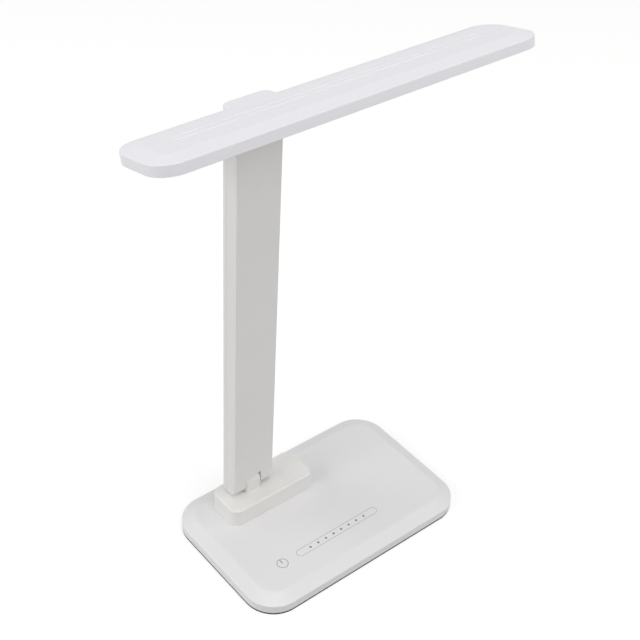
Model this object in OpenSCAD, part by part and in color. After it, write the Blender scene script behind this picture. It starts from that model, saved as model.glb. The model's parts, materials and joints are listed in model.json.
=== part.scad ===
// Folding LED desk lamp.
// Millimetres, +Z up, +Y to the back. The origin is the middle of the anti-slip pad's underside.

/* [Base] */
// Length of the base, left to right
base_l = 190; // [170:1:240]
// Depth of the base, front to back
base_w = 121.5; // [115:0.5:160]
// Radius of the base's corners
base_r = 24; // [16:0.5:26]
// Height of the upright edge above the table
base_wall_h = 8.2; // [7.8:0.1:9.5]
// Height of the flat top above the table
base_h = 12.5; // [12.2:0.1:16]
// Width of the sloping edge round the top
base_bevel = 10; // [6:0.5:12]
// Thickness of the base's upright wall
base_wall = 2; // [1.6:0.1:2.4]
// Thickness of the base's top
base_top_t = 2.2; // [1.8:0.1:2.4]
// Thickness of the bottom cover
bottom_t = 2; // [1.8:0.1:2.2]
// Thickness of the anti-slip pad
pad_t = 1.5; // [1:0.1:1.8]
// How far the pad stays in from the base's edge
pad_inset = 0.4; // [0.2:0.1:1.5]
// Distance of the screw bosses from the base's ends
boss_in_x = 23; // [20:0.5:26]
// Distance of the screw bosses from the base's front and back
boss_in_y = 20.75; // [19:0.25:24]

/* [Weight plate] */
// Thickness of the weight plate
weight_t = 3; // [2:0.1:3]
// Distance of the weight plate from the base's ends
weight_end_gap = 33; // [30:0.5:40]
// Distance of the weight plate from the base's front edge
weight_front_gap = 10.75; // [10:0.25:14]
// Distance of the weight plate from the base's rear edge
weight_back_gap = 24.75; // [24:0.25:30]

/* [Touch controls] */
// Length of the touch board
touch_l = 104; // [90:1:108]
// Depth of the touch board
touch_w = 20; // [16:0.5:24]
// Thickness of the touch board
touch_t = 1.2; // [0.8:0.1:1.3]
// Thickness of the foam tape over it
tape_t = 0.4; // [0.2:0.1:0.5]
// Distance of the board's middle from the base's left end
touch_from_left = 81; // [79:0.5:85]
// Distance of the board's middle from the base's front edge
touch_from_front = 29.55; // [27:0.05:31]

/* [Power inlet] */
// Distance of the power inlet from the base's right end
inlet_from_right = 65; // [45:1:70]
// Width of the inlet's metal shell
inlet_w = 8.94; // [7.5:0.02:9.5]
// Height of the inlet's metal shell
inlet_h = 3.26; // [2.6:0.02:3.3]
// Length of the inlet's metal shell
inlet_len = 7.4; // [6:0.1:9]
// Wall of the inlet's metal shell
inlet_wall = 0.3; // [0.2:0.05:0.4]
// Length of the board that carries the inlet
inlet_board_l = 14; // [10:0.5:15]
// Width of the board that carries the inlet
inlet_board_w = 18; // [12:0.5:22]

/* [Pedestal] */
// Length of the hinge pedestal
ped_l = 74; // [68:1:80]
// Depth of the hinge pedestal
ped_w = 31.2; // [28:0.2:34]
// Height of the pedestal above the base's top
ped_h = 15.3; // [12:0.1:20]
// Radius of the pedestal's corners
ped_r = 7.5; // [4:0.5:11]
// Wall of the pedestal
ped_wall = 2.5; // [2:0.1:3]
// Chamfer round the pedestal's top
ped_edge = 1.2; // [0.6:0.1:1.8]
// Distance of the pedestal's middle from the base's left end
ped_from_left = 64.6; // [63:0.2:67]
// Distance of the pedestal's middle from the base's rear edge
ped_from_back = 29.75; // [28:0.25:30.5]

/* [Hinges] */
// Width of the middle knuckle of each hinge
knuckle_w = 12.6; // [11:0.2:14]
// Side gap between a knuckle and the ears
knuckle_gap = 0.4; // [0.35:0.05:0.8]
// Gap between the rounded ends of the stem and what they turn against
hinge_gap = 0.5; // [0.4:0.05:1]
// Outer radius of the hollow hinge pins
pin_r = 2.6; // [2.4:0.05:2.8]
// Radius of the hole along the hinge pins
pin_hole_r = 1.5; // [1.3:0.05:1.6]
// Running clearance of the pins, on the radius
pin_clear = 0.05; // [0.02:0.01:0.08]
// Distance of the pins' ends from the stem's sides
pin_end = 5; // [4.8:0.1:5.6]
// Outer radius of the friction washers
washer_r = 5.2; // [4:0.1:6]
// Thickness of the friction washers
washer_t = 0.8; // [0.75:0.05:1.2]
// Radius of the caps over the pin bores
cap_r = 4; // [3.5:0.1:5]
// Thickness of the caps
cap_t = 1.2; // [0.8:0.1:1.2]

/* [Stem] */
// Width of the stem
stem_w = 34.5; // [32:0.5:40]
// Thickness of the stem
stem_t = 14.9; // [14.2:0.1:16]
// Distance between the two hinge pins
hinge_span = 296.8; // [200:1:360]
// Distance of the stem's middle to the left of the pedestal's middle
stem_off_x = 10.9; // [9.6:0.1:12.4]
// Distance of the hinge pins behind the pedestal's middle
stem_off_y = 4.3; // [3.4:0.1:5]
// Wall of the stem's covers
stem_wall = 2; // [1.6:0.1:2.4]
// Depth of the rear cover
rear_cover_d = 4; // [3.6:0.1:4.4]
// Width of the steel stiffener
spine_w = 20; // [14:0.5:22]
// Thickness of the steel stiffener
spine_t = 1.5; // [1:0.1:2]

/* [Head] */
// Length of the head
head_l = 295.5; // [270:1:360]
// Depth of the head
head_w = 53.2; // [51:0.2:60]
// Radius of the head's corners
head_r = 16.7; // [13:0.1:20]
// Height of the head's upright edge
head_wall_h = 7; // [6.8:0.1:8.5]
// Height of the head's flat top above its underside
head_h = 9.6; // [9.4:0.1:12]
// Width of the sloping edge round the head's top
head_bevel = 10.7; // [8:0.1:11]
// Wall of the head's top cover
head_wall = 1.8; // [1.5:0.1:2]
// Distance from the stem's middle to the head's left end
head_left = 95.6; // [70:0.2:110]
// Distance from the hinge pin back to the head's rear edge
head_back = 2.8; // [2.4:0.1:3.4]
// Tilt of the head, front edge up, as it stands in use
head_tilt = 13.5; // [0:0.5:30]
// Distance of the groove in the head's top from the head's ends
groove_end = 28.75; // [24:0.25:60]
// Width of the groove
groove_w = 4.8; // [3:0.1:8]
// Depth of the groove
groove_d = 0.6; // [0.3:0.1:0.8]
// Radius of the rear tab's corners
tab_r = 6; // [3:0.5:7]

/* [Light] */
// Distance of the light window from the head's ends
window_end = 15.75; // [14.5:0.25:40]
// Depth of the light window
window_w = 30; // [24:0.5:31]
// Thickness of the head's bottom bezel
bezel_t = 1.8; // [1.6:0.1:2]
// Thickness of the ledge that the diffuser lies on
ledge_t = 0.8; // [0.6:0.1:1]
// Width of that ledge
ledge_w = 2; // [1.5:0.1:2.2]
// Thickness of the diffuser above the ledge
diffuser_t = 1.5; // [1:0.1:1.7]
// Height of the reflector wall
reflector_h = 3.4; // [2.6:0.1:3.4]
// Thickness of the LED board
led_board_t = 1; // [0.8:0.1:1.1]
// LEDs in each row
leds_per_row = 24; // [8:1:30]
// Distance between the two rows of LEDs
led_row_gap = 15; // [10:0.5:18]
// Length of one LED
led_l = 3.5; // [2:0.1:4]
// Width of one LED
led_w = 2.8; // [1.6:0.1:3]
// Height of one LED
led_h = 0.8; // [0.5:0.1:1]

/* [Screws and wires] */
// Thread radius of the large screws
big_screw_r = 1.25; // [1.1:0.05:1.4]
// Head radius of the large screws
big_head_r = 2.4; // [2.2:0.1:2.6]
// Head height of the large screws
big_head_t = 1.1; // [0.9:0.05:1.2]
// Thread radius of the small screws
small_screw_r = 1; // [0.8:0.05:1.1]
// Head radius of the small screws
small_head_r = 1.9; // [1.7:0.05:2]
// Head height of the small screws
small_head_t = 0.9; // [0.7:0.05:1]
// Clearance round a screw, on the radius
screw_clear = 0.03; // [0.02:0.01:0.06]
// Wall round a screw in its boss
boss_wall = 1.6; // [1.2:0.1:1.8]
// Radius of the wires
wire_r = 0.9; // [0.6:0.05:1]
// Clearance between covers that fit into each other
fit_gap = 0.15; // [0.1:0.05:0.3]

/* [Hidden] */
$fn = 64;

// Colours
white_abs = [0.93, 0.93, 0.93];
steel = [0.7, 0.71, 0.73];
board_green = [0.1, 0.4, 0.25];
black_part = [0.12, 0.12, 0.13];

// Overlap that makes two bodies of one solid meet
eps = 0.01;

// Base: levels
floor_top = pad_t + bottom_t;
base_ceiling = base_h - base_top_t;
base_slope_drop = 0.8 * base_wall;
base_inner_bevel = base_bevel - base_wall / 2;
boss_x = base_l / 2 - boss_in_x;
boss_y = base_w / 2 - boss_in_y;
big_boss_r = big_screw_r + screw_clear + boss_wall;
big_boss_depth = 6;

// Weight plate and the posts that hold it down
weight_l = base_l - 2 * weight_end_gap;
weight_w = base_w - weight_front_gap - weight_back_gap;
weight_y = (weight_front_gap - weight_back_gap) / 2;
weight_top = floor_top + weight_t;
post_r = 2.5;
post_end_in = 9;
post_front_in = 4.5;
post_back_in = 24;

// Touch board
touch_x = touch_from_left - base_l / 2;
touch_y = touch_from_front - base_w / 2;
tape_bottom = base_ceiling - tape_t;
touch_bottom = tape_bottom - touch_t;
tape_in = 1;

// Parts under the touch board: place along the board, place across it, length, width, height
touch_parts = [
    [-44, 3, 4, 4, 1.2],
    [-12, 2, 6, 5, 1.4],
    [0, -4, 3, 1.6, 0.8],
    [8, 4, 3, 1.6, 0.8],
    [14, -2, 5, 5, 1.5],
    [26, 3, 4, 4, 1.4],
    [34, -4, 2, 1.2, 0.6]
];

// Power inlet
inlet_x = base_l / 2 - inlet_from_right;
inlet_y = base_w / 2 - fit_gap;
inlet_z = floor_top + 0.1 + inlet_h / 2;
inlet_board_t = 1;
inlet_rib_w = 1.5;
inlet_rib_in = 2;
tongue_w = inlet_w - 2.25;
tongue_h = 0.7;
tongue_l = inlet_len - 1.2;
lead_off = 5;

// Pedestal
ped_x = ped_from_left - base_l / 2;
ped_y = base_w / 2 - ped_from_back;

// Hinges and stem, with the lower pin's axis as the stem's own zero
stem_x = ped_x - stem_off_x;
stem_y = ped_y + stem_off_y;
stem_edge = stem_t / 2;
ear_drop = stem_edge + hinge_gap;
lower_axis_z = base_h + ped_h + ear_drop;
upper_axis_z = lower_axis_z + hinge_span;
notch_w = knuckle_w + 2 * knuckle_gap;
pin_bore_r = pin_r + pin_clear;
pin_l = stem_w - 2 * pin_end;
washer_seat = washer_t + 0.1 - knuckle_gap;
cap_stub = 1.2;
cross_hole_r = wire_r + 0.3;
seam_y = stem_edge - rear_cover_d;
cavity_low = ear_drop + stem_wall;
cavity_high = hinge_span - cavity_low;
wire_x = stem_w / 2 - cap_t - cap_stub - wire_r - 0.4;
channel_w = pin_end - cap_t - cap_stub;
channel_d = 2 * wire_r + 1;

// Stem screws and the ribs that clamp the spine
stem_screw_n = 4;
stem_screw_in = 12;
stem_screw_step = (cavity_high - cavity_low - 2 * stem_screw_in) / (stem_screw_n - 1);
small_boss_r = small_screw_r + screw_clear + boss_wall;
rib_w = 10;
rib_t = 3;
spine_end_gap = 3;
rear_recess = small_head_t + 1.2;
stem_screw_grip = 6;

// Pedestal bosses, from the pedestal's middle
ped_boss_x = [-27, 6.5, 27.5];
ped_boss_h = 11;
wire_level = weight_top + wire_r + 0.2;

// Head, with the upper pin's axis as the head's own zero
head_mid_x = head_l / 2 - head_left;
head_mid_y = head_back - head_w / 2;
head_inner_h = head_h - head_wall;
head_slope_drop = 0.8 * head_wall;
head_inner_bevel = head_bevel - head_wall / 2;
tab_w = head_w / 2;
groove_l = head_l - 2 * groove_end;
window_l = head_l - 2 * window_end;
tray_l = window_l + 2 * ledge_w;
tray_w = window_w + 2 * ledge_w;
tray_y = -stem_edge - tray_w / 2;
reflector_bottom = ledge_t + diffuser_t;
led_board_bottom = reflector_bottom + reflector_h;
led_board_top = led_board_bottom + led_board_t;
flange_front = -stem_edge + 0.45;
flange_back = stem_edge - head_wall - fit_gap;
flange_w = stem_w - 2 * (head_wall + fit_gap);
flange_t = 4;
flange_screw_x = flange_w / 2 - 4.3;
flange_screw_y = (flange_front + flange_back) / 2;
end_boss_in = 7;
end_boss_y = 12;
rear_boss_y = head_back - end_boss_in;
rear_boss_in = [78, 140];
head_boss_top = head_wall_h + 0.3;
board_rib_n = 6;
board_rib_t = 1.6;

// Flat shapes

module rounded_rect(l, w, r) {
    square([l - 2 * r, w], center = true);
    square([l, w - 2 * r], center = true);
    for (sx = [-1, 1], sy = [-1, 1])
        translate([sx * (l / 2 - r), sy * (w / 2 - r)])
            circle(r = r);
}

module obround(l, w) {
    square([l - w, w], center = true);
    for (s = [-1, 1])
        translate([s * (l - w) / 2, 0])
            circle(d = w);
}

// Solid shapes

module slab(l, w, r, h) {
    linear_extrude(h)
        rounded_rect(l, w, r);
}

// A slab with a sloping edge of width b above its upright wall
module bevel_slab(l, w, r, wall_h, h, b) {
    translate([r - l / 2, 0, 0])
        rotate([90, 0, 90])
            linear_extrude(l - 2 * r)
                bevel_side(w, wall_h, h, b);
    translate([0, w / 2 - r, 0])
        rotate([90, 0, 0])
            linear_extrude(w - 2 * r)
                bevel_side(l, wall_h, h, b);
    for (sx = [-1, 1], sy = [-1, 1])
        translate([sx * (l / 2 - r), sy * (w / 2 - r), 0])
            rotate_extrude()
                polygon([[0, 0], [r, 0], [r, wall_h], [r - b, h], [0, h]]);
}

// The end view of such a slab
module bevel_side(w, wall_h, h, b) {
    polygon([
        [-w / 2, 0],
        [w / 2, 0],
        [w / 2, wall_h],
        [w / 2 - b, h],
        [b - w / 2, h],
        [-w / 2, wall_h]
    ]);
}

// A box from its lowest and highest corners
module span_box(low, high) {
    translate(low)
        cube(high - low);
}

module ring(outer, inner, h) {
    difference() {
        cylinder(h = h, r = outer);
        translate([0, 0, -1])
            cylinder(h = h + 2, r = inner);
    }
}

// A pan-head screw pointing up, with a cross recess in its head
module screw(head_r, head_t, thread_r, length) {
    slot_w = head_r * 0.3;
    slot_d = head_t * 0.6;
    difference() {
        union() {
            cylinder(h = head_t, r = head_r);
            cylinder(h = head_t + length, r = thread_r);
        }
        for (a = [0, 90])
            rotate([0, 0, a])
                translate([-head_r * 0.65, -slot_w / 2, -1])
                    cube([head_r * 1.3, slot_w, slot_d + 1]);
    }
}

module big_screw(length) {
    screw(big_head_r, big_head_t, big_screw_r, length);
}

module small_screw(length) {
    screw(small_head_r, small_head_t, small_screw_r, length);
}

// A wire along a list of points, with round elbows
module wire_run(points) {
    for (i = [0 : len(points) - 2]) {
        step = points[i + 1] - points[i];
        run = norm(step);
        turn = acos(step[2] / run);
        heading = atan2(step[1], step[0]);
        translate(points[i])
            rotate([0, turn, heading])
                cylinder(h = run, r = wire_r, $fn = 24);
    }
    for (i = [1 : len(points) - 2])
        translate(points[i])
            sphere(r = wire_r, $fn = 24);
}

// Places

module at_base_bosses() {
    for (sx = [-1, 1], sy = [-1, 1])
        translate([sx * boss_x, sy * boss_y, 0])
            children();
}

module at_weight_posts() {
    for (sx = [-1, 1])
        for (y = [post_front_in - weight_w / 2, weight_w / 2 - post_back_in])
            translate([sx * (weight_l / 2 - post_end_in), y + weight_y, 0])
                children();
}

module at_pedestal_bosses() {
    for (x = ped_boss_x)
        translate([ped_x + x, ped_y, 0])
            children();
}

module at_stem() {
    translate([stem_x, stem_y, lower_axis_z])
        children();
}

module at_head() {
    translate([stem_x, stem_y, upper_axis_z])
        rotate([-head_tilt, 0, 0])
            children();
}

// The head's underside, below its middle
module at_head_underside() {
    at_head()
        translate([head_mid_x, head_mid_y, ear_drop])
            children();
}

// The middle of the light tray, level with the head's underside
module at_tray() {
    at_head()
        translate([head_mid_x, tray_y, ear_drop])
            children();
}

module at_head_bosses() {
    for (sx = [-1, 1], sy = [-1, 1])
        translate([sx * (head_l / 2 - end_boss_in), sy * end_boss_y, 0])
            children();
    for (x = rear_boss_in)
        translate([head_l / 2 - x, rear_boss_y - head_mid_y, 0])
            children();
}

module at_stem_screws() {
    for (i = [0 : stem_screw_n - 1])
        translate([0, 0, cavity_low + stem_screw_in + i * stem_screw_step])
            children();
}

// Base

module anti_slip_pad() {
    color(black_part)
        slab(base_l - 2 * pad_inset, base_w - 2 * pad_inset, base_r - pad_inset, pad_t);
}

module base_bottom_cover() {
    inset = base_wall + fit_gap;
    rib_h = inlet_z - inlet_board_t / 2 - floor_top;
    rib_l = inlet_board_l - 2;
    color(white_abs)
        difference() {
            union() {
                translate([0, 0, pad_t])
                    slab(base_l - 2 * inset, base_w - 2 * inset, base_r - inset, bottom_t);
                for (s = [-1, 1])
                    translate([
                        inlet_x + s * (inlet_board_w / 2 - inlet_rib_in) - inlet_rib_w / 2,
                        inlet_y - inlet_len - inlet_board_l + 1,
                        floor_top - eps
                    ])
                        cube([inlet_rib_w, rib_l, rib_h + eps]);
            }
            at_base_bosses() {
                translate([0, 0, pad_t - 1])
                    cylinder(h = 1 + big_head_t + 0.1, r = big_head_r + 0.1);
                cylinder(h = floor_top + 1, r = big_screw_r + 0.15);
            }
        }
}

module base_inlet_cut() {
    depth = inlet_len + 1;
    translate([inlet_x, base_w / 2 + 1, inlet_z])
        rotate([90, 0, 0])
            linear_extrude(depth + 1)
                obround(inlet_w + 2 * fit_gap, inlet_h + 2 * fit_gap);
}

module base_top_cover() {
    color(white_abs)
        difference() {
            union() {
                difference() {
                    translate([0, 0, pad_t])
                        bevel_slab(base_l, base_w, base_r, base_wall_h - pad_t, base_h - pad_t, base_bevel);
                    translate([0, 0, pad_t - 1])
                        bevel_slab(
                            base_l - 2 * base_wall,
                            base_w - 2 * base_wall,
                            base_r - base_wall,
                            base_wall_h - base_slope_drop - pad_t + 1,
                            base_ceiling - pad_t + 1,
                            base_inner_bevel
                        );
                }
                at_base_bosses()
                    translate([0, 0, floor_top])
                        cylinder(h = base_ceiling - floor_top + eps, r = big_boss_r);
                at_weight_posts()
                    translate([0, 0, weight_top])
                        cylinder(h = base_ceiling - weight_top + eps, r = post_r);
            }
            at_base_bosses()
                cylinder(h = floor_top + big_boss_depth, r = big_screw_r + screw_clear);
            at_pedestal_bosses()
                translate([0, 0, base_ceiling - 1])
                    cylinder(h = base_top_t + 2, r = big_screw_r + 0.15);
            translate([stem_x, stem_y, base_ceiling - 1])
                cylinder(h = base_top_t + 2, r = wire_r + 0.6);
            base_inlet_cut();
        }
}

module weight_plate() {
    color(steel)
        translate([0, weight_y, floor_top])
            slab(weight_l, weight_w, 4, weight_t);
}

module touch_board() {
    color(board_green)
        translate([touch_x, touch_y, touch_bottom])
            slab(touch_l, touch_w, 1.5, touch_t);
}

module touch_tape() {
    color(black_part)
        translate([touch_x, touch_y, tape_bottom])
            slab(touch_l - 2 * tape_in, touch_w - 2 * tape_in, 1, tape_t);
}

module touch_components() {
    color(black_part)
        for (p = touch_parts)
            translate([touch_x + p[0] - p[2] / 2, touch_y + p[1] - p[3] / 2, touch_bottom - p[4]])
                cube([p[2], p[3], p[4]]);
}

module power_inlet() {
    color(steel)
        translate([inlet_x, inlet_y, inlet_z])
            rotate([90, 0, 0]) {
                difference() {
                    linear_extrude(inlet_len)
                        obround(inlet_w, inlet_h);
                    translate([0, 0, -1])
                        linear_extrude(inlet_len - 0.6 + 1)
                            obround(inlet_w - 2 * inlet_wall, inlet_h - 2 * inlet_wall);
                }
                translate([-tongue_w / 2, -tongue_h / 2, inlet_len - tongue_l])
                    cube([tongue_w, tongue_h, tongue_l - 0.3]);
            }
}

module power_board() {
    color(board_green)
        translate([
            inlet_x - inlet_board_w / 2,
            inlet_y - inlet_len - inlet_board_l,
            inlet_z - inlet_board_t / 2
        ])
            cube([inlet_board_w, inlet_board_l, inlet_board_t]);
}

module power_lead() {
    y_start = inlet_y - inlet_len - inlet_board_l / 2;
    y_end = touch_y + touch_w / 2 - 2;
    color(black_part)
        wire_run([
            [inlet_x - lead_off, y_start, inlet_z + inlet_board_t / 2],
            [inlet_x - lead_off, y_start, wire_level],
            [inlet_x - lead_off, y_end, wire_level],
            [inlet_x - lead_off, y_end, touch_bottom]
        ]);
}

module base_screws() {
    color(steel)
        at_base_bosses()
            translate([0, 0, pad_t + 0.05])
                big_screw(big_boss_depth - 0.2);
}

// The round part of a knuckle and its neck, as seen from the side; down turns the neck downwards
module knuckle_side(neck) {
    circle(r = stem_edge);
    if (neck > 0)
        translate([-stem_edge, 0])
            square([stem_t, neck]);
    else
        translate([-stem_edge, neck])
            square([stem_t, -neck]);
}

module knuckle(neck) {
    translate([-knuckle_w / 2, 0, 0])
        rotate([90, 0, 90])
            linear_extrude(knuckle_w)
                knuckle_side(neck);
}

// What is bored out of a knuckle: the pin's hole and the seats of the two washers
module knuckle_bores() {
    rotate([0, 90, 0])
        cylinder(h = knuckle_w + 2, r = pin_bore_r, center = true);
    for (s = [0, 180])
        rotate([0, 90, s])
            translate([0, 0, knuckle_w / 2 - washer_seat])
                cylinder(h = washer_seat + 1, r = washer_r + 0.1);
}

module hinge_pedestal() {
    boss_r = big_screw_r + screw_clear + boss_wall;
    inner_h = ped_h - ped_wall;
    column_h = base_h + inner_h + eps;
    color(white_abs)
        difference() {
            union() {
                translate([ped_x, ped_y, base_h])
                    difference() {
                        bevel_slab(ped_l, ped_w, ped_r, ped_h - ped_edge, ped_h, ped_edge);
                        translate([0, 0, -1])
                            slab(ped_l - 2 * ped_wall, ped_w - 2 * ped_wall, ped_r - ped_wall, inner_h + 1);
                    }
                at_pedestal_bosses()
                    translate([0, 0, base_h])
                        cylinder(h = inner_h + eps, r = boss_r);
                span_box(
                    [stem_x - knuckle_w / 2, stem_y - stem_edge, base_h],
                    [stem_x + knuckle_w / 2, stem_y + stem_edge, column_h]
                );
                at_stem()
                    knuckle(-ear_drop - eps);
            }
            at_stem()
                knuckle_bores();
            translate([stem_x, stem_y, base_h - 1])
                cylinder(h = lower_axis_z - base_h + 1, r = cross_hole_r + 0.2);
            at_pedestal_bosses()
                translate([0, 0, base_h - 1])
                    cylinder(h = ped_boss_h + 1, r = big_screw_r + screw_clear);
        }
}

module pedestal_screws() {
    color(steel)
        at_pedestal_bosses()
            translate([0, 0, base_ceiling - big_head_t - 0.02])
                big_screw(base_top_t + ped_boss_h - 0.5);
}

// A hollow pin along X; up is 1 for a side hole that looks up, -1 for one that looks down
module hinge_pin(up) {
    difference() {
        rotate([0, 90, 0])
            cylinder(h = pin_l, r = pin_r, center = true);
        rotate([0, 90, 0])
            cylinder(h = pin_l + 2, r = pin_hole_r, center = true);
        mirror([0, 0, up > 0 ? 0 : 1])
            cylinder(h = pin_r + 1, r = cross_hole_r);
    }
}

module friction_washers() {
    for (s = [0, 180])
        rotate([0, 90, s])
            translate([0, 0, knuckle_w / 2 - washer_seat])
                ring(washer_r, pin_bore_r, washer_t);
}

module base_hinge_pin() {
    color(steel)
        at_stem()
            hinge_pin(-1);
}

module base_friction_washers() {
    color(steel)
        at_stem()
            friction_washers();
}

module base_wire() {
    y_end = touch_y + touch_w / 2 - 2;
    color(black_part)
        wire_run([
            [stem_x + stem_w / 2 - pin_end - 0.1, stem_y, lower_axis_z],
            [stem_x, stem_y, lower_axis_z],
            [stem_x, stem_y, wire_level],
            [stem_x, y_end, wire_level],
            [stem_x, y_end, touch_bottom]
        ]);
}

// Stem

// The stem seen from the side: round ends, but a square rear corner at the foot that stops the stem upright
module stem_side() {
    translate([-stem_edge, 0])
        square([stem_t, hinge_span]);
    circle(r = stem_edge);
    translate([0, -stem_edge])
        square([stem_edge, stem_edge]);
    translate([0, hinge_span])
        circle(r = stem_edge);
}

module stem_blank() {
    difference() {
        translate([-stem_w / 2, 0, 0])
            rotate([90, 0, 90])
                linear_extrude(stem_w)
                    stem_side();
        span_box(
            [-notch_w / 2, -stem_t, -stem_t],
            [notch_w / 2, stem_t, ear_drop]
        );
        span_box(
            [-notch_w / 2, -stem_t, hinge_span - ear_drop],
            [notch_w / 2, stem_t, hinge_span + stem_t]
        );
    }
}

// The stem's hollow between two depths
module stem_cavity(y_low, y_high) {
    span_box(
        [stem_wall - stem_w / 2, y_low, cavity_low],
        [stem_w / 2 - stem_wall, y_high, cavity_high]
    );
}

// The bore of one hinge pin through both ears, open to the right for the pin and its cap
module ear_bore() {
    translate([-pin_l / 2 - 0.1, 0, 0])
        rotate([0, 90, 0])
            cylinder(h = stem_w, r = pin_bore_r);
    translate([stem_w / 2 - cap_t, 0, 0])
        rotate([0, 90, 0])
            cylinder(h = cap_t + 1, r = cap_r + 0.05);
}

module wire_channel(z_low, z_high) {
    span_box(
        [stem_w / 2 - pin_end, -channel_d / 2, z_low],
        [stem_w / 2 - pin_end + channel_w, channel_d / 2, z_high]
    );
}

module stem_front_shell() {
    color(white_abs)
        at_stem()
            difference() {
                union() {
                    difference() {
                        stem_blank();
                        span_box(
                            [-stem_w, seam_y, -stem_t],
                            [stem_w, stem_t, hinge_span + stem_t]
                        );
                        stem_cavity(stem_wall - stem_edge, stem_t);
                    }
                    at_stem_screws()
                        translate([0, seam_y, 0])
                            rotate([90, 0, 0])
                                cylinder(h = seam_y + stem_edge - stem_wall + eps, r = small_boss_r);
                }
                at_stem_screws()
                    translate([0, seam_y + 1, 0])
                        rotate([90, 0, 0])
                            cylinder(h = seam_y + stem_edge - stem_wall + 1, r = small_screw_r + screw_clear);
                ear_bore();
                translate([0, 0, hinge_span])
                    ear_bore();
                wire_channel(0, cavity_low + eps);
                wire_channel(cavity_high - eps, hinge_span);
            }
}

module stem_rear_cover() {
    cover_in = stem_edge - stem_wall;
    spine_face = stem_wall + spine_t - stem_edge;
    color(white_abs)
        at_stem()
            difference() {
                union() {
                    difference() {
                        stem_blank();
                        span_box(
                            [-stem_w, -stem_t, -stem_t],
                            [stem_w, seam_y, hinge_span + stem_t]
                        );
                        stem_cavity(-stem_t, cover_in);
                    }
                    at_stem_screws()
                        translate([0, seam_y, 0])
                            rotate([-90, 0, 0])
                                cylinder(h = cover_in - seam_y + eps, r = small_head_r + 1.2);
                    for (i = [0 : stem_screw_n - 2])
                        translate([0, 0, cavity_low + stem_screw_in + (i + 0.5) * stem_screw_step])
                            span_box(
                                [-rib_w / 2, spine_face, -rib_t / 2],
                                [rib_w / 2, cover_in + eps, rib_t / 2]
                            );
                }
                at_stem_screws() {
                    translate([0, stem_edge - rear_recess, 0])
                        rotate([-90, 0, 0])
                            cylinder(h = rear_recess + 1, r = small_head_r + 0.2);
                    translate([0, seam_y - 1, 0])
                        rotate([-90, 0, 0])
                            cylinder(h = rear_cover_d + 1, r = small_screw_r + 0.15);
                }
                ear_bore();
                translate([0, 0, hinge_span])
                    ear_bore();
            }
}

module stem_spine() {
    color(steel)
        at_stem()
            difference() {
                span_box(
                    [-spine_w / 2, stem_wall - stem_edge, cavity_low + spine_end_gap],
                    [spine_w / 2, stem_wall + spine_t - stem_edge, cavity_high - spine_end_gap]
                );
                at_stem_screws()
                    rotate([90, 0, 0])
                        cylinder(h = stem_t, r = small_boss_r + 0.2);
            }
}

module stem_screws() {
    color(steel)
        at_stem()
            at_stem_screws()
                translate([0, stem_edge - rear_recess + small_head_t + 0.02, 0])
                    rotate([90, 0, 0])
                        small_screw(rear_cover_d - rear_recess + stem_screw_grip);
}

module stem_wire() {
    stub_x = stem_w / 2 - pin_end + 0.1;
    color(black_part)
        at_stem()
            wire_run([
                [stub_x, 0, 0],
                [wire_x, 0, 0],
                [wire_x, 0, hinge_span],
                [stub_x, 0, hinge_span]
            ]);
}

module hinge_cap() {
    translate([stem_w / 2 - cap_t, 0, 0])
        rotate([0, 90, 0])
            cylinder(h = cap_t, r = cap_r);
    translate([stem_w / 2 - cap_t - cap_stub, 0, 0])
        rotate([0, 90, 0])
            cylinder(h = cap_stub + eps, r = pin_r);
}

module lower_hinge_cap() {
    color(white_abs)
        at_stem()
            hinge_cap();
}

module upper_hinge_cap() {
    color(white_abs)
        at_stem()
            translate([0, 0, hinge_span])
                hinge_cap();
}

// Head

module head_top_cover() {
    tab_l = stem_w;
    color(white_abs)
        difference() {
            union() {
                difference() {
                    union() {
                        at_head_underside()
                            bevel_slab(head_l, head_w, head_r, head_wall_h, head_h, head_bevel);
                        at_head()
                            translate([0, stem_edge - tab_w / 2, ear_drop])
                                slab(tab_l, tab_w, tab_r, head_h);
                    }
                    at_head_underside()
                        translate([0, 0, -1])
                            bevel_slab(
                                head_l - 2 * head_wall,
                                head_w - 2 * head_wall,
                                head_r - head_wall,
                                head_wall_h - head_slope_drop + 1,
                                head_inner_h + 1,
                                head_inner_bevel
                            );
                    at_head()
                        translate([0, stem_edge - tab_w / 2, ear_drop - 1])
                            slab(
                                tab_l - 2 * head_wall,
                                tab_w - 2 * head_wall,
                                tab_r - head_wall,
                                head_inner_h + 1
                            );
                }
                at_head_underside()
                    at_head_bosses()
                        translate([0, 0, bezel_t])
                            cylinder(h = head_boss_top - bezel_t, r = small_boss_r);
                at_head()
                    for (s = [-1, 1])
                        translate([s * flange_screw_x, flange_screw_y, ear_drop + flange_t])
                            cylinder(h = head_inner_h - flange_t + eps, r = small_boss_r);
                at_tray()
                    for (i = [0 : board_rib_n - 1])
                        translate([
                            (i - (board_rib_n - 1) / 2) * tray_l / board_rib_n - board_rib_t / 2,
                            -tray_w / 4,
                            led_board_top
                        ])
                            cube([board_rib_t, tray_w / 2, head_inner_h - led_board_top + eps]);
            }
            at_head_underside()
                translate([0, 0, head_h - groove_d])
                    linear_extrude(groove_d + 1)
                        obround(groove_l, groove_w);
            at_head_underside()
                at_head_bosses()
                    cylinder(h = head_boss_top - 0.5, r = small_screw_r + screw_clear);
            at_head()
                for (s = [-1, 1])
                    translate([s * flange_screw_x, flange_screw_y, ear_drop])
                        cylinder(h = head_inner_h - 0.3, r = small_screw_r + screw_clear);
        }
}

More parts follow.
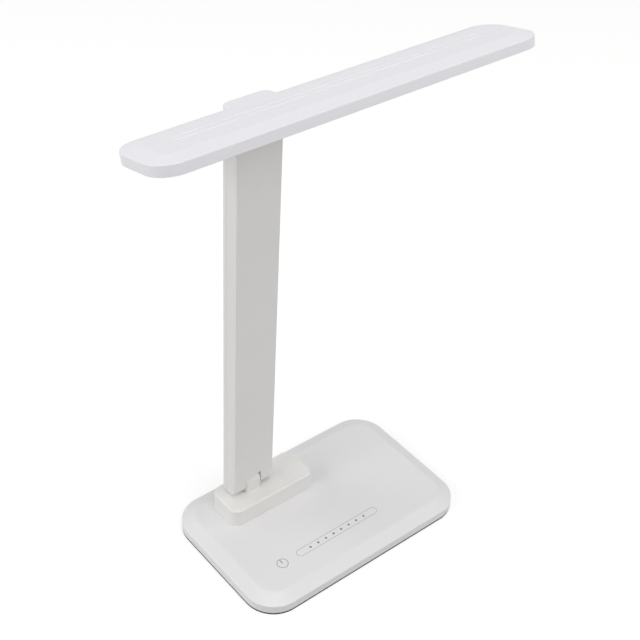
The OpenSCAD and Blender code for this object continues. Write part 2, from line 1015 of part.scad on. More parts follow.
module head_bezel() {
    inset = head_wall + fit_gap;
    pillar_t = bezel_t + 0.01;
    color(white_abs)
        difference() {
            at_head_underside()
                slab(head_l - 2 * inset, head_w - 2 * inset, head_r - inset, bezel_t);
            at_tray() {
                translate([0, 0, -1])
                    slab(window_l, window_w, 3, bezel_t + 2);
                translate([0, 0, ledge_t])
                    slab(tray_l, tray_w, 3, bezel_t);
            }
            at_head()
                span_box(
                    [-flange_w / 2 - fit_gap, flange_front - fit_gap, ear_drop - 1],
                    [flange_w / 2 + fit_gap, stem_t, ear_drop + pillar_t]
                );
            at_head_underside()
                at_head_bosses() {
                    translate([0, 0, -1])
                        cylinder(h = 1 + small_head_t + 0.1, r = small_head_r + 0.2);
                    cylinder(h = bezel_t + 1, r = small_screw_r + 0.15);
                }
        }
}

module diffuser() {
    play = 0.1;
    color([0.97, 0.97, 0.95])
        at_tray() {
            slab(window_l - 2 * play, window_w - 2 * play, 3 - play, ledge_t + eps);
            translate([0, 0, ledge_t])
                slab(tray_l - 2 * play, tray_w - 2 * play, 3 - play, diffuser_t);
        }
}

module reflector() {
    play = 0.1;
    color([0.95, 0.95, 0.95])
        at_tray()
            translate([0, 0, reflector_bottom])
                difference() {
                    slab(tray_l - 2 * play, tray_w - 2 * play, 3 - play, reflector_h);
                    translate([0, 0, -1])
                        slab(window_l, window_w, 2, reflector_h + 2);
                }
}

module led_board() {
    play = 0.1;
    color([0.9, 0.9, 0.88])
        at_tray()
            translate([0, 0, led_board_bottom])
                slab(tray_l - 2 * play, tray_w - 2 * play, 2, led_board_t);
}

module leds() {
    pitch = (window_l - 2 * led_l) / leds_per_row;
    color([0.95, 0.85, 0.4])
        at_tray()
            for (i = [0 : leds_per_row - 1], s = [-1, 1])
                translate([
                    (i - (leds_per_row - 1) / 2) * pitch - led_l / 2,
                    s * led_row_gap / 2 - led_w / 2,
                    led_board_bottom - led_h
                ])
                    cube([led_l, led_w, led_h]);
}

// The plate that closes the tab from below, with the tab's round rear corners
module knuckle_flange() {
    inset = head_wall + fit_gap;
    difference() {
        translate([0, stem_edge - tab_w / 2, ear_drop])
            slab(flange_w, tab_w - 2 * inset, tab_r - inset, flange_t);
        span_box(
            [-stem_w, -head_w, ear_drop - 1],
            [stem_w, flange_front, ear_drop + flange_t + 1]
        );
    }
}

module head_knuckle() {
    color(white_abs)
        at_head()
            difference() {
                union() {
                    knuckle(ear_drop);
                    knuckle_flange();
                }
                knuckle_bores();
                cylinder(h = ear_drop + flange_t + 1, r = cross_hole_r + 0.2);
                for (s = [-1, 1])
                    translate([s * flange_screw_x, flange_screw_y, ear_drop - 1]) {
                        cylinder(h = 1 + small_head_t + 0.3, r = small_head_r + 0.2);
                        cylinder(h = flange_t + 2, r = small_screw_r + 0.15);
                    }
            }
}

module knuckle_screws() {
    color(steel)
        at_head()
            for (s = [-1, 1])
                translate([s * flange_screw_x, flange_screw_y, ear_drop + 0.28])
                    small_screw(head_inner_h - small_head_t - 0.8);
}

module head_screws() {
    color(steel)
        at_head_underside()
            at_head_bosses()
                translate([0, 0, 0.08])
                    small_screw(head_boss_top - small_head_t - 0.8);
}

module head_hinge_pin() {
    color(steel)
        at_head()
            hinge_pin(1);
}

module head_friction_washers() {
    color(steel)
        at_head()
            friction_washers();
}

module head_wire() {
    board_mid = ear_drop + led_board_bottom + led_board_t / 2;
    color(black_part)
        at_head()
            wire_run([
                [stem_w / 2 - pin_end - 0.1, 0, 0],
                [0, 0, 0],
                [0, 0, board_mid],
                [0, -stem_edge, board_mid]
            ]);
}

anti_slip_pad();
base_bottom_cover();
base_top_cover();
weight_plate();
touch_board();
touch_tape();
touch_components();
power_inlet();
power_board();
power_lead();
base_screws();
hinge_pedestal();
pedestal_screws();
base_hinge_pin();
base_friction_washers();
base_wire();
stem_front_shell();
stem_rear_cover();
stem_spine();
stem_screws();
stem_wire();
lower_hinge_cap();
upper_hinge_cap();
head_top_cover();
head_bezel();
diffuser();
reflector();
led_board();
leds();
head_knuckle();
knuckle_screws();
head_screws();
head_hinge_pin();
head_friction_washers();
head_wire();
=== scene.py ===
"""Folding desk lamp: finished mouldings, fittings, materials and studio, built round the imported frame."""

import json
import math

import bmesh
import bpy
from bpy.props import FloatProperty, FloatVectorProperty, PointerProperty
from mathutils import Matrix, Vector


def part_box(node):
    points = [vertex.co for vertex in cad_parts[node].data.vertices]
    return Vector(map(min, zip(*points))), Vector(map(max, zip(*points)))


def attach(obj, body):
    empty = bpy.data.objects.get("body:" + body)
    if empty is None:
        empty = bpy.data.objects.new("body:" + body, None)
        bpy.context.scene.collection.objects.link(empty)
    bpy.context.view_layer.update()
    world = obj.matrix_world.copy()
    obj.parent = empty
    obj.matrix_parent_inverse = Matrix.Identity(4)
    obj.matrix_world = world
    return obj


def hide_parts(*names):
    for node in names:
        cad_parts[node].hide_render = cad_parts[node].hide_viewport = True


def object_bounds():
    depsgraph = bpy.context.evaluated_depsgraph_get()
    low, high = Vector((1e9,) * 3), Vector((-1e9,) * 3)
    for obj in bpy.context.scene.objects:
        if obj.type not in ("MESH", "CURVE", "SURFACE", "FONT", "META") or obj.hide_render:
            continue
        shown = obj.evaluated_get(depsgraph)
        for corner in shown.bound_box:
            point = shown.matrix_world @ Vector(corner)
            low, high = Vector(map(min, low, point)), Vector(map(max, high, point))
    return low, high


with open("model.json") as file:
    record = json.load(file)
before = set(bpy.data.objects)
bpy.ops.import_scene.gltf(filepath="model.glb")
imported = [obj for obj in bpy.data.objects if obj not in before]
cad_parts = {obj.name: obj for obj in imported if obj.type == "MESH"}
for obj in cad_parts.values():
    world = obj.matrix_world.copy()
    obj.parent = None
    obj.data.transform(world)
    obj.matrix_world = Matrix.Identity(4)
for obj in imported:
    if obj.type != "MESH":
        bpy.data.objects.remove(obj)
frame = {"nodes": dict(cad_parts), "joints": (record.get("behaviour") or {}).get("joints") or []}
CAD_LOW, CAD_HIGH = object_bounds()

bl_info = {
    "name": "Folding desk lamp",
    "version": (1, 0, 0),
    "blender": (4, 5, 0),
    "location": "3D View > Sidebar > Lamp",
    "description": "Builds a folding desk lamp with its mouldings, fittings and studio",
    "category": "Object",
}

MM = 0.001
# Faces that would lie in one plane are set this far apart, so that joining them stays clean
SLIVER = 0.02 * MM
# A cutting tool reaches this far past what it cuts
PAST = 1 * MM
# Further than any edge of the stem from its middle line
FAR = 20 * MM
# A boss stands this deep in the wall that carries it
ROOT = 0.1 * MM
# The gap, and the rounding, where one piece closes the opening of another
FIT = 0.15 * MM
# The gap round a screw's head in its well, and how deep the well goes below the top of the head
WELL_GAP = 0.2 * MM
WELL_DEPTH = 0.9 * MM
# The radius of a round end, as a share of half its width, for the stem's ends and knuckles and for the
# slots. It is under one, so that the two arcs of an end don't quite meet
ROUND_END = 0.9999
SLOT_END = 0.97
HERE = Matrix.Identity(4)


# ---------------------------------------------------------------- places


def pivot(name):
    """Where a joint of the frame turns, at rest."""
    joint = next(j for j in frame["joints"] if j["name"] == name)
    return Vector(joint["pos_m"])


def span(points):
    """The low and the high corner of the box round some points."""
    low = Vector([min(p[i] for p in points) for i in range(3)])
    high = Vector([max(p[i] for p in points) for i in range(3)])
    return low, high


def local_box(node, place):
    """A frame node's box in a place of its own."""
    back = place.inverted()
    return span([back @ v.co for v in frame["nodes"][node].data.vertices])


def solid_boxes(node, place=HERE):
    """One box for each separate solid of a frame node."""
    bm = bmesh.new()
    bm.from_mesh(frame["nodes"][node].data)
    bmesh.ops.remove_doubles(bm, verts=bm.verts, dist=MM / 1000)
    bm.transform(place.inverted())
    left = set(bm.verts)
    boxes = []
    while left:
        group = {left.pop()}
        edge = list(group)
        while edge:
            for link in edge.pop().link_edges:
                for vert in link.verts:
                    if vert not in group:
                        group.add(vert)
                        edge.append(vert)
        left -= group
        boxes.append(span([v.co for v in group]))
    bm.free()
    return sorted(boxes, key=lambda box: [round(place, 5) for place in box[0]])


# The stem's own place has its zero on the lower hinge, and the head's on the upper one
STEM_PLACE = Matrix.Translation(pivot("stem_fold"))
HEAD_TILT = math.radians(13.5)
HEAD_PLACE = Matrix.Translation(pivot("head_tilt")) @ Matrix.Rotation(-HEAD_TILT, 4, "X")
# A side view drawn in Y and Z, with its depth along X
SIDE_VIEW = Matrix(((0, 0, 1, 0), (1, 0, 0, 0), (0, 1, 0, 0), (0, 0, 0, 1)))
# A rear view drawn in X and downwards in Z, with its depth along Y
REAR_VIEW = Matrix(((1, 0, 0, 0), (0, 0, 1, 0), (0, -1, 0, 0), (0, 0, 0, 1)))


def stem_box(node):
    """A frame node's box in the stem's own place."""
    return local_box(node, STEM_PLACE)


def head_box(node):
    """A frame node's box in the head's own place."""
    return local_box(node, HEAD_PLACE)


def hinge_span():
    """The distance between the two hinges."""
    return pivot("head_tilt").z - pivot("stem_fold").z


def stem_radius():
    """Half the stem's depth, which is also the radius of its round ends."""
    return pivot("stem_fold").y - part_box("stem_front_shell")[0].y


def ear_drop():
    """How far the faces next to a hinge lie from its axis."""
    return stem_radius() + sizes().hinge_gap


# ---------------------------------------------------------------- outlines and mouldings


def rounded(corners, radii, steps, closed=True):
    """A flat line whose corners are rounded, each by its own radius."""
    points = []
    count = len(corners)
    for i, radius in enumerate(radii):
        corner = Vector(corners[i])
        if radius <= 0 or (not closed and i in (0, count - 1)):
            points.append(corner)
            continue
        to_last = (Vector(corners[i - 1]) - corner).normalized()
        to_next = (Vector(corners[(i + 1) % count]) - corner).normalized()
        half = to_last.angle(to_next) / 2
        centre = corner + (to_last + to_next).normalized() * radius / math.sin(half)
        start = corner + to_last * radius / math.tan(half) - centre
        end = corner + to_next * radius / math.tan(half) - centre
        first = math.atan2(start.y, start.x)
        turn = (math.atan2(end.y, end.x) - first + math.pi) % (2 * math.pi) - math.pi
        for k in range(steps + 1):
            t = first + turn * k / steps
            points.append(centre + Vector((math.cos(t), math.sin(t))) * radius)
    kept = [p for i, p in enumerate(points) if i == 0 or (p - points[i - 1]).length > MM / 1e4]
    if closed and (kept[0] - kept[-1]).length < MM / 1e4:
        kept.pop()
    return kept


def plate(low, high, radius, steps=16):
    """A rectangle with round corners."""
    corners = [(low[0], low[1]), (high[0], low[1]), (high[0], high[1]), (low[0], high[1])]
    return rounded(corners, [radius] * 4, steps=steps)


def disc(radius, centre=(0, 0), steps=48):
    turns = [2 * math.pi * i / steps for i in range(steps)]
    return [Vector((centre[0] + radius * math.cos(t), centre[1] + radius * math.sin(t))) for t in turns]


def inset(outline, distance):
    """The outline moved inwards all round."""
    moved = []
    for i, point in enumerate(outline):
        before = (point - outline[i - 1]).normalized()
        after = (outline[(i + 1) % len(outline)] - point).normalized()
        normal_a = Vector((-before.y, before.x))
        normal_b = Vector((-after.y, after.x))
        moved.append(point + (normal_a + normal_b) * distance / (1 + normal_a.dot(normal_b)))
    return moved


def edge_path(low, high, foot, rim):
    """The rounded edge of a straight-sided piece, as steps of inset and height."""
    corners = [(2 * foot, low), (0, low), (0, high), (2 * rim, high)]
    path = rounded(corners, [0, foot, rim, 0], closed=False, steps=5)
    return path[foot > 0:len(path) - (rim > 0)]


def mould(outline, path, place=HERE, ring=False):
    """A closed mesh that follows an outline through steps of inset and height; a ring closes on itself."""
    bm = bmesh.new()
    loops = []
    for step, height in path:
        loops.append([bm.verts.new(place @ Vector((p.x, p.y, height))) for p in inset(outline, step)])
    pairs = list(zip(loops, loops[1:]))
    if ring:
        pairs.append((loops[-1], loops[0]))
    else:
        bm.faces.new(reversed(loops[0]))
        bm.faces.new(loops[-1])
    for lower, upper in pairs:
        for i in range(len(lower)):
            bm.faces.new((lower[i - 1], lower[i], upper[i], upper[i - 1]))
    bmesh.ops.recalc_face_normals(bm, faces=bm.faces)
    return bm


def box_mould(low, high, place=HERE):
    return mould(plate(low, high, 0), [(0, low[2]), (0, high[2])], place)


def gather(*parts):
    """Several meshes in one, side by side."""
    whole = bmesh.new()
    for part in parts:
        mesh = bpy.data.meshes.new("part")
        part.to_mesh(mesh)
        part.free()
        whole.from_mesh(mesh)
        bpy.data.meshes.remove(mesh)
    return whole


def new_piece(name, bm):
    mesh = bpy.data.meshes.new(name)
    bm.to_mesh(mesh)
    bm.free()
    piece = bpy.data.objects.new(name, mesh)
    bpy.context.scene.collection.objects.link(piece)
    return piece


def settle(piece):
    """Applies the piece's modifiers."""
    graph = bpy.context.evaluated_depsgraph_get()
    old = piece.data
    piece.data = bpy.data.meshes.new_from_object(piece.evaluated_get(graph))
    piece.modifiers.clear()
    bpy.data.meshes.remove(old)


def clean(piece, reach=MM / 500, flatten=True):
    """Joins the double points, and the flat faces, that cutting left."""
    bm = bmesh.new()
    bm.from_mesh(piece.data)
    bmesh.ops.remove_doubles(bm, verts=bm.verts, dist=reach)
    if flatten:
        bmesh.ops.dissolve_limit(bm, angle_limit=math.radians(0.2), verts=bm.verts, edges=bm.edges)
    bm.to_mesh(piece.data)
    bm.free()


def carve(piece, *tools, operation="DIFFERENCE", ring=False):
    """Cuts tools from a piece one after another, or joins them on; ring is for a tool closed on itself."""
    for tool in tools:
        helper = new_piece("tool", tool)
        modifier = piece.modifiers.new("tool", "BOOLEAN")
        modifier.operation = operation
        modifier.solver = "EXACT"
        modifier.use_self = ring
        modifier.object = helper
        settle(piece)
        clean(piece, MM / 5000, flatten=False)
        bpy.data.objects.remove(helper)


def score(piece, places):
    """Parts a piece's faces at these heights, so that no face has many holes."""
    bm = bmesh.new()
    bm.from_mesh(piece.data)
    for place in places:
        whole = [*bm.verts, *bm.edges, *bm.faces]
        bmesh.ops.bisect_plane(bm, geom=whole, dist=MM / 5000, plane_co=place, plane_no=(0, 0, 1))
    bm.to_mesh(piece.data)
    bm.free()


def soften(piece, width):
    """Breaks the sharp edges that cutting left."""
    clean(piece, flatten=False)
    modifier = piece.modifiers.new("edge", "BEVEL")
    modifier.width = width
    modifier.segments = 2
    modifier.limit_method = "ANGLE"
    modifier.angle_limit = math.radians(60)
    modifier.miter_outer = "MITER_ARC"
    settle(piece)


def posts(node, radius, hole, low, high, place=HERE):
    """A tubular boss for each screw of a node, upright in a place of its own."""
    path = [(0, low), (0, high), (radius - hole, high), (radius - hole, low)]
    middles = [(a + b) / 2 for a, b in solid_boxes(node, place)]
    return [mould(disc(radius, middle, steps=32), path, place, ring=True) for middle in middles]


def screw_wells(node, path, place):
    """One tool for the wells of a node's screw heads, upright in a place of their own."""
    wells = []
    for low, high in solid_boxes(node, place):
        wells.append(mould(disc((high.x - low.x) / 2 + WELL_GAP, (low + high) / 2, steps=32), path, place))
    return gather(*wells)


def sloped_edge(wall, low, wall_top, slope, top):
    """The edge of a cover with an upright wall and a slope above it, as steps of inset and height."""
    s = sizes()
    # At so flat a corner, a radius of four times the crease gives a rounding about as wide as the crease
    bend = 4 * s.crease
    corners = [(wall, low), (0, low), (0, wall_top), (slope, top), (slope + 3 * s.crease, top)]
    return rounded(corners, [0, s.rim / 2, s.rim, bend, 0], closed=False, steps=6)


def sloped_hollow(wall, low, wall_top, slope, ceiling):
    """The inside of such a cover, with a wall of nearly even thickness."""
    return [(0, low - wall), (0, wall_top - 0.8 * wall), (slope - wall / 2, ceiling)]


def hinge_bores(pin, washers, place):
    """What a hinge's pin and friction washers take out of the mouldings round them."""
    pin_gap, washer_gap = 0.05 * MM, 0.1 * MM
    tools = []
    for node, clear in ((pin, pin_gap), (washers, washer_gap)):
        for low, high in solid_boxes(node, place):
            circle = disc((high.y - low.y) / 2 + clear, (low.yz + high.yz) / 2)
            tools.append(mould(circle, [(0, low.x - clear), (0, high.x + clear)], place @ SIDE_VIEW))
    return tools


def finish_piece(piece, body, material, replaces=()):
    """Shades a piece, gives it its material and ties it to the frame."""
    mesh = piece.data
    mesh.polygons.foreach_set("use_smooth", [True] * len(mesh.polygons))
    mesh.set_sharp_from_angle(angle=math.radians(35))
    mesh.materials.clear()
    mesh.materials.append(material)
    modifier = piece.modifiers.new("shading", "WEIGHTED_NORMAL")
    modifier.keep_sharp = True
    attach(piece, body)
    if replaces:
        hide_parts(*replaces)


# ---------------------------------------------------------------- colours and materials


def linear(code):
    """An sRGB hex colour as linear values."""
    channels = [int(code[i:i + 2], 16) / 255 for i in (1, 3, 5)]
    return [c / 12.92 if c <= 0.04045 else ((c + 0.055) / 1.055) ** 2.4 for c in channels]


def add(tree, kind, values=None, links=None, **settings):
    """Adds a node with its settings, socket values and incoming links."""
    node = tree.nodes.new("ShaderNode" + kind)
    for name, value in settings.items():
        setattr(node, name, value)
    for socket, value in (values or {}).items():
        node.inputs[socket].default_value = value
    for socket, source in (links or {}).items():
        tree.links.new(source, node.inputs[socket])
    return node


def start_material(name, **sockets):
    """A new material whose Principled shader has these plain values."""
    material = bpy.data.materials.new(name)
    material.use_nodes = True
    tree = material.node_tree
    shader = tree.nodes["Principled BSDF"]
    for socket, value in sockets.items():
        shader.inputs[socket.replace("_", " ")].default_value = value
    place = add(tree, "TexCoord").outputs["Object"]
    return material, tree, shader, place


def per_metre(size_mm):
    """The scale that gives a pattern features of this size."""
    return 1 / (size_mm * MM)


def lay_skin(tree, shader, patterns, tones, rough, relief):
    """Lets three patterns vary a surface: its tone, its roughness, and its relief of a depth in mm and a
    strength."""
    ends = {"A": (*tones[0], 1), "B": (*tones[1], 1)}
    tone = add(tree, "Mix", ends, {"Factor": patterns[0]}, data_type="RGBA")
    wear = add(tree, "MapRange", {"To Min": rough[0], "To Max": rough[1]}, {"Value": patterns[1]})
    bump = add(tree, "Bump", {"Strength": relief[1], "Distance": relief[0] * MM}, {"Height": patterns[2]})
    tree.links.new(tone.outputs["Result"], shader.inputs["Base Color"])
    tree.links.new(wear.outputs["Result"], shader.inputs["Roughness"])
    tree.links.new(bump.outputs["Normal"], shader.inputs["Normal"])


def lay_grain(name, noise, tones, rough, relief, **sockets):
    """A material whose tone, shine and relief all follow one fine grain."""
    material, tree, shader, place = start_material(name, **sockets)
    grain = add(tree, "TexNoise", noise, {"Vector": place}).outputs["Fac"]
    lay_skin(tree, shader, [grain] * 3, tones, rough, relief)
    return material


def dimmed(colour, share):
    return [c * share for c in colour]


def moulded_abs(name, colour, gloss):
    """White ABS, injection moulded in a satin-polished tool: an even skin with a soft shine, a very fine
    orange peel, and clouds where the melt cooled unevenly."""
    material, tree, shader, place = start_material(name, IOR=1.54)
    clouds = add(tree, "TexNoise", {"Scale": per_metre(45), "Detail": 2}, {"Vector": place})
    handled = add(tree, "TexNoise", {"Scale": per_metre(14), "Detail": 4}, {"Vector": place})
    # The real peel is about 0.3 mm across, drawn at 0.9 mm so that it shows at all
    peel = add(tree, "TexNoise", {"Scale": per_metre(0.9), "Detail": 2}, {"Vector": place})
    patterns = [pattern.outputs["Fac"] for pattern in (clouds, handled, peel)]
    tones = (dimmed(colour, 0.985), colour)
    lay_skin(tree, shader, patterns, tones, (gloss - 0.05, gloss + 0.07), (0.01, 0.5))
    return material


def printed_ink(name, colour):
    """Pad-printed grey ink: a thin, slightly uneven film, duller than the plastic under it."""
    # The film's grain is about 0.15 mm across, drawn at 0.6 mm so that it shows
    film = {"Scale": per_metre(0.6), "Detail": 3}
    tones = (dimmed(colour, 0.9), dimmed(colour, 1.1))
    return lay_grain(name, film, tones, (0.5, 0.65), (0.005, 0.3), IOR=1.5)


def foam_rubber(colour):
    """Moulded EVA foam rubber: matt, with fine closed pores that grip the table."""
    material, tree, shader, place = start_material("moulded_foam_rubber", IOR=1.45)
    # Pores of 0.2 mm, drawn at 0.8 mm so that they show
    pores = add(tree, "TexVoronoi", {"Scale": per_metre(0.8)}, {"Vector": place}).outputs["Distance"]
    worn = add(tree, "TexNoise", {"Scale": per_metre(12), "Detail": 5}, {"Vector": place}).outputs["Fac"]
    tones = (dimmed(colour, 0.8), dimmed(colour, 1.25))
    lay_skin(tree, shader, [worn, worn, pores], tones, (0.78, 0.92), (0.12, 0.6))
    return material


def zinc_plated_steel(colour):
    """Cold-rolled steel sheet with a zinc plating: a dull grey shine with faint rolling marks."""
    material, tree, shader, place = start_material("zinc_plated_steel_sheet", Metallic=1.0)
    # The marks lie some 0.1 mm apart, drawn at 0.4 mm so that they show
    stretch = {"Scale": (per_metre(30), per_metre(0.4), per_metre(0.4))}
    along = add(tree, "Mapping", stretch, {"Vector": place}).outputs["Vector"]
    rolling = add(tree, "TexNoise", {"Scale": 1.0, "Detail": 4}, {"Vector": along}).outputs["Fac"]
    lay_skin(tree, shader, [rolling] * 3, (dimmed(colour, 0.9), colour), (0.34, 0.48), (0.01, 0.4))
    return material


def nickel_plated_steel(colour):
    """Turned or stamped steel with a bright nickel plating: a warm mirror with fine tool marks."""
    # The marks are under 0.1 mm wide, drawn at 0.5 mm so that they show
    marks = {"Scale": per_metre(0.5), "Detail": 5, "Roughness": 0.7}
    tones = (dimmed(colour, 0.88), colour)
    return lay_grain("nickel_plated_steel", marks, tones, (0.26, 0.4), (0.01, 0.3), Metallic=1.0)


def solder_masked_board(name, dark, light):
    """Glass-epoxy board under solder mask: a glossy lacquer with the glass weave just showing."""
    material, tree, shader, place = start_material(name, IOR=1.52)
    # Glass strands lie 0.45 mm apart, and a wave node of scale 1 has a period of 1/20
    strands = {"Scale": per_metre(0.45) / 20}
    warp = add(tree, "TexWave", strands, {"Vector": place}, bands_direction="X").outputs["Fac"]
    weft = add(tree, "TexWave", strands, {"Vector": place}, bands_direction="Y").outputs["Fac"]
    weave = add(tree, "Math", None, {0: warp, 1: weft}, operation="MULTIPLY").outputs["Value"]
    lay_skin(tree, shader, [weave] * 3, (dark, light), (0.25, 0.35), (0.01, 0.3))
    return material


def black_resin(name, colour, grain_mm, roughness):
    """Black filled resin, moulded matt: a grey-black skin with a fine even grain."""
    # The real grain is about 0.1 mm across, and each use draws it as coarse as it has to be to show
    grain = {"Scale": per_metre(grain_mm), "Detail": 4}
    tones = (dimmed(colour, 0.7), dimmed(colour, 1.3))
    return lay_grain(name, grain, tones, (roughness - 0.06, roughness + 0.08), (0.03, 0.5), IOR=1.5)


def pvc_jacket(colour):
    """Extruded PVC wire jacket: smooth, slightly waxy, with faint marks of the die."""
    # The marks are about 0.1 mm wide, drawn at 0.7 mm so that they show
    marks = {"Scale": per_metre(0.7), "Detail": 2}
    tones = (dimmed(colour, 0.93), colour)
    return lay_grain("extruded_pvc_jacket", marks, tones, (0.38, 0.5), (0.02, 0.3), IOR=1.53)


def opal_acrylic(colour):
    """Opal cast acrylic with a satin face: milky depth under a soft shine, with a fine even grain."""
    material, tree, shader, place = start_material("satin_opal_acrylic", IOR=1.49)
    shader.inputs["Subsurface Weight"].default_value = 0.35
    shader.inputs["Subsurface Radius"].default_value = (2 * MM, 2 * MM, 2 * MM)
    haze = add(tree, "TexNoise", {"Scale": per_metre(8), "Detail": 3}, {"Vector": place}).outputs["Fac"]
    # The satin grain is about 0.1 mm across, drawn at 0.7 mm so that it shows
    grain = add(tree, "TexNoise", {"Scale": per_metre(0.7), "Detail": 3}, {"Vector": place}).outputs["Fac"]
    lay_skin(tree, shader, [haze, haze, grain], (dimmed(colour, 0.97), colour), (0.36, 0.44), (0.015, 0.5))
    return material


def phosphor_package(frame_colour, phosphor_colour):
    """LED package: a white resin frame round a yellow phosphor gel that glistens."""
    material, tree, shader, place = start_material("phosphor_led_package", IOR=1.5)
    # Grains of phosphor of some 0.02 mm, drawn as spots of 0.5 mm so that they show
    spots = add(tree, "TexVoronoi", {"Scale": per_metre(0.5)}, {"Vector": place}).outputs["Distance"]
    lay_skin(tree, shader, [spots] * 3, (phosphor_colour, frame_colour), (0.15, 0.4), (0.02, 0.4))
    return material


def studio_paper(colour, lift):
    """Seamless paper: matt and pale; the camera sees it lifted to white, and it keeps the shadow."""
    material, tree, shader, place = start_material("seamless_paper")
    fibres = add(tree, "TexNoise", {"Scale": per_metre(3), "Detail": 4}, {"Vector": place}).outputs["Fac"]
    lay_skin(tree, shader, [fibres] * 3, (dimmed(colour, 0.99), colour), (0.92, 0.98), (0.02, 0.2))
    strength = add(tree, "Math", {1: lift}, {0: seen_directly(tree)}, operation="MULTIPLY")
    tree.links.new(strength.outputs["Value"], shader.inputs["Emission Strength"])
    shader.inputs["Emission Color"].default_value = (1, 1, 1, 1)
    return material


def seen_directly(tree):
    """One where the camera, a mirror or glass looks, and zero for the light that falls on things."""
    rays = add(tree, "LightPath")
    first = add(tree, "Math", None, {0: rays.outputs["Is Camera Ray"], 1: rays.outputs["Is Glossy Ray"]},
                operation="MAXIMUM")
    both = add(tree, "Math", None, {0: first.outputs["Value"], 1: rays.outputs["Is Transmission Ray"]},
               operation="MAXIMUM")
    return both.outputs["Value"]


# ---------------------------------------------------------------- what a user can change


def length(name, description, millimetres):
    return FloatProperty(
        name=name, description=description, default=millimetres * MM, min=0, unit="LENGTH", precision=5
    )


def angle(name, description, degrees):
    turn = math.radians(degrees)
    return FloatProperty(name=name, description=description, default=turn, subtype="ANGLE")


def plain_number(name, description, value):
    return FloatProperty(name=name, description=description, default=value, min=0)


def colour_choice(name, description, code):
    return FloatVectorProperty(
        name=name, description=description, default=linear(code), min=0, max=1, subtype="COLOR"
    )


class LampSizes(bpy.types.PropertyGroup):
    base_corner: length("Base corner", "Radius of the base's corners", 24)
    base_wall_top: length("Base wall top", "Height of the base's upright edge above the table", 8.2)
    base_slope: length("Base slope", "Width of the sloping edge round the base's top", 10)
    base_wall: length("Base wall", "Thickness of the base's upright wall", 2)
    base_top: length("Base top", "Thickness of the base's top", 2.2)
    base_floor: length("Base floor", "Thickness of the base's bottom cover", 2)
    pad_squeeze: length("Pad squeeze", "How far the pad's edge swells under the base's weight", 0.25)
    big_post: length("Big post", "Radius of the bosses for the large screws", 2.88)
    big_pilot: length("Big pilot", "Radius of the pilot holes for the large screws", 1.28)
    small_post: length("Small post", "Radius of the bosses for the small screws", 2.63)
    small_pilot: length("Small pilot", "Radius of the pilot holes for the small screws", 1.03)
    pedestal_corner: length("Pedestal corner", "Radius of the pedestal's corners", 7.5)
    pedestal_edge: length("Pedestal edge", "Rounding of the pedestal's top edge", 1.4)
    knuckle_width: length("Knuckle width", "Width of the middle knuckle of each hinge", 12.6)
    knuckle_gap: length("Knuckle gap", "Side gap between a knuckle and the stem's ears", 0.4)
    hinge_gap: length("Hinge gap", "Gap between the stem's round ends and what they turn against", 0.5)
    stem_edge: length("Stem edge", "Rounding of the stem's long edges", 0.8)
    stem_wall: length("Stem wall", "Wall of the stem's covers", 2)
    seam: length("Seam", "Open line between two covers", 0.16)
    head_corner: length("Head corner", "Radius of the head's corners", 16.7)
    head_wall_top: length("Head wall top", "Height of the head's upright edge above its underside", 7)
    head_slope: length("Head slope", "Width of the sloping edge round the head's top", 10.7)
    head_wall: length("Head wall", "Wall of the head's top cover", 1.8)
    tab_corner: length("Tab corner", "Radius of the corners of the head's rear tab", 6)
    groove_end: length("Groove end", "Distance of the head's engraved slot from the head's ends", 28.75)
    groove_front: length("Groove front", "How far the slot lies in front of the upper hinge", 21.6)
    groove_width: length("Groove width", "Width of the head's engraved slot", 6)
    groove_depth: length("Groove depth", "Depth of the engraved line", 0.5)
    crease: length("Crease", "Rounding where a slope meets a flat top", 1.6)
    rim: length("Rim", "Rounding of a moulding's outer rim", 0.6)
    broken: length("Broken edge", "Rounding of cut edges", 0.2)


class LampMarks(bpy.types.PropertyGroup):
    slider_length: length("Slider length", "Length of the printed outline of the touch slider", 76)
    slider_width: length("Slider width", "Width of the printed outline of the touch slider", 6.6)
    slider_shift: length("Slider shift", "How far the slider lies right of the touch board's middle", 6.4)
    dot_pitch: length("Dot pitch", "Distance between the slider's dots", 7.27)
    dot_radius: length("Dot radius", "Radius of one dot", 0.9)
    ring_shift: length("Ring shift", "How far the power mark lies left of the touch board's middle", 44.8)
    ring_radius: length("Ring radius", "Radius of the power mark's ring", 4.3)
    line: length("Line", "Width of the printed lines", 0.45)
    tick: length("Tick", "Width of the upright stroke of the power mark", 0.62)
    ink: length("Ink", "Thickness of the printed ink", 0.03)


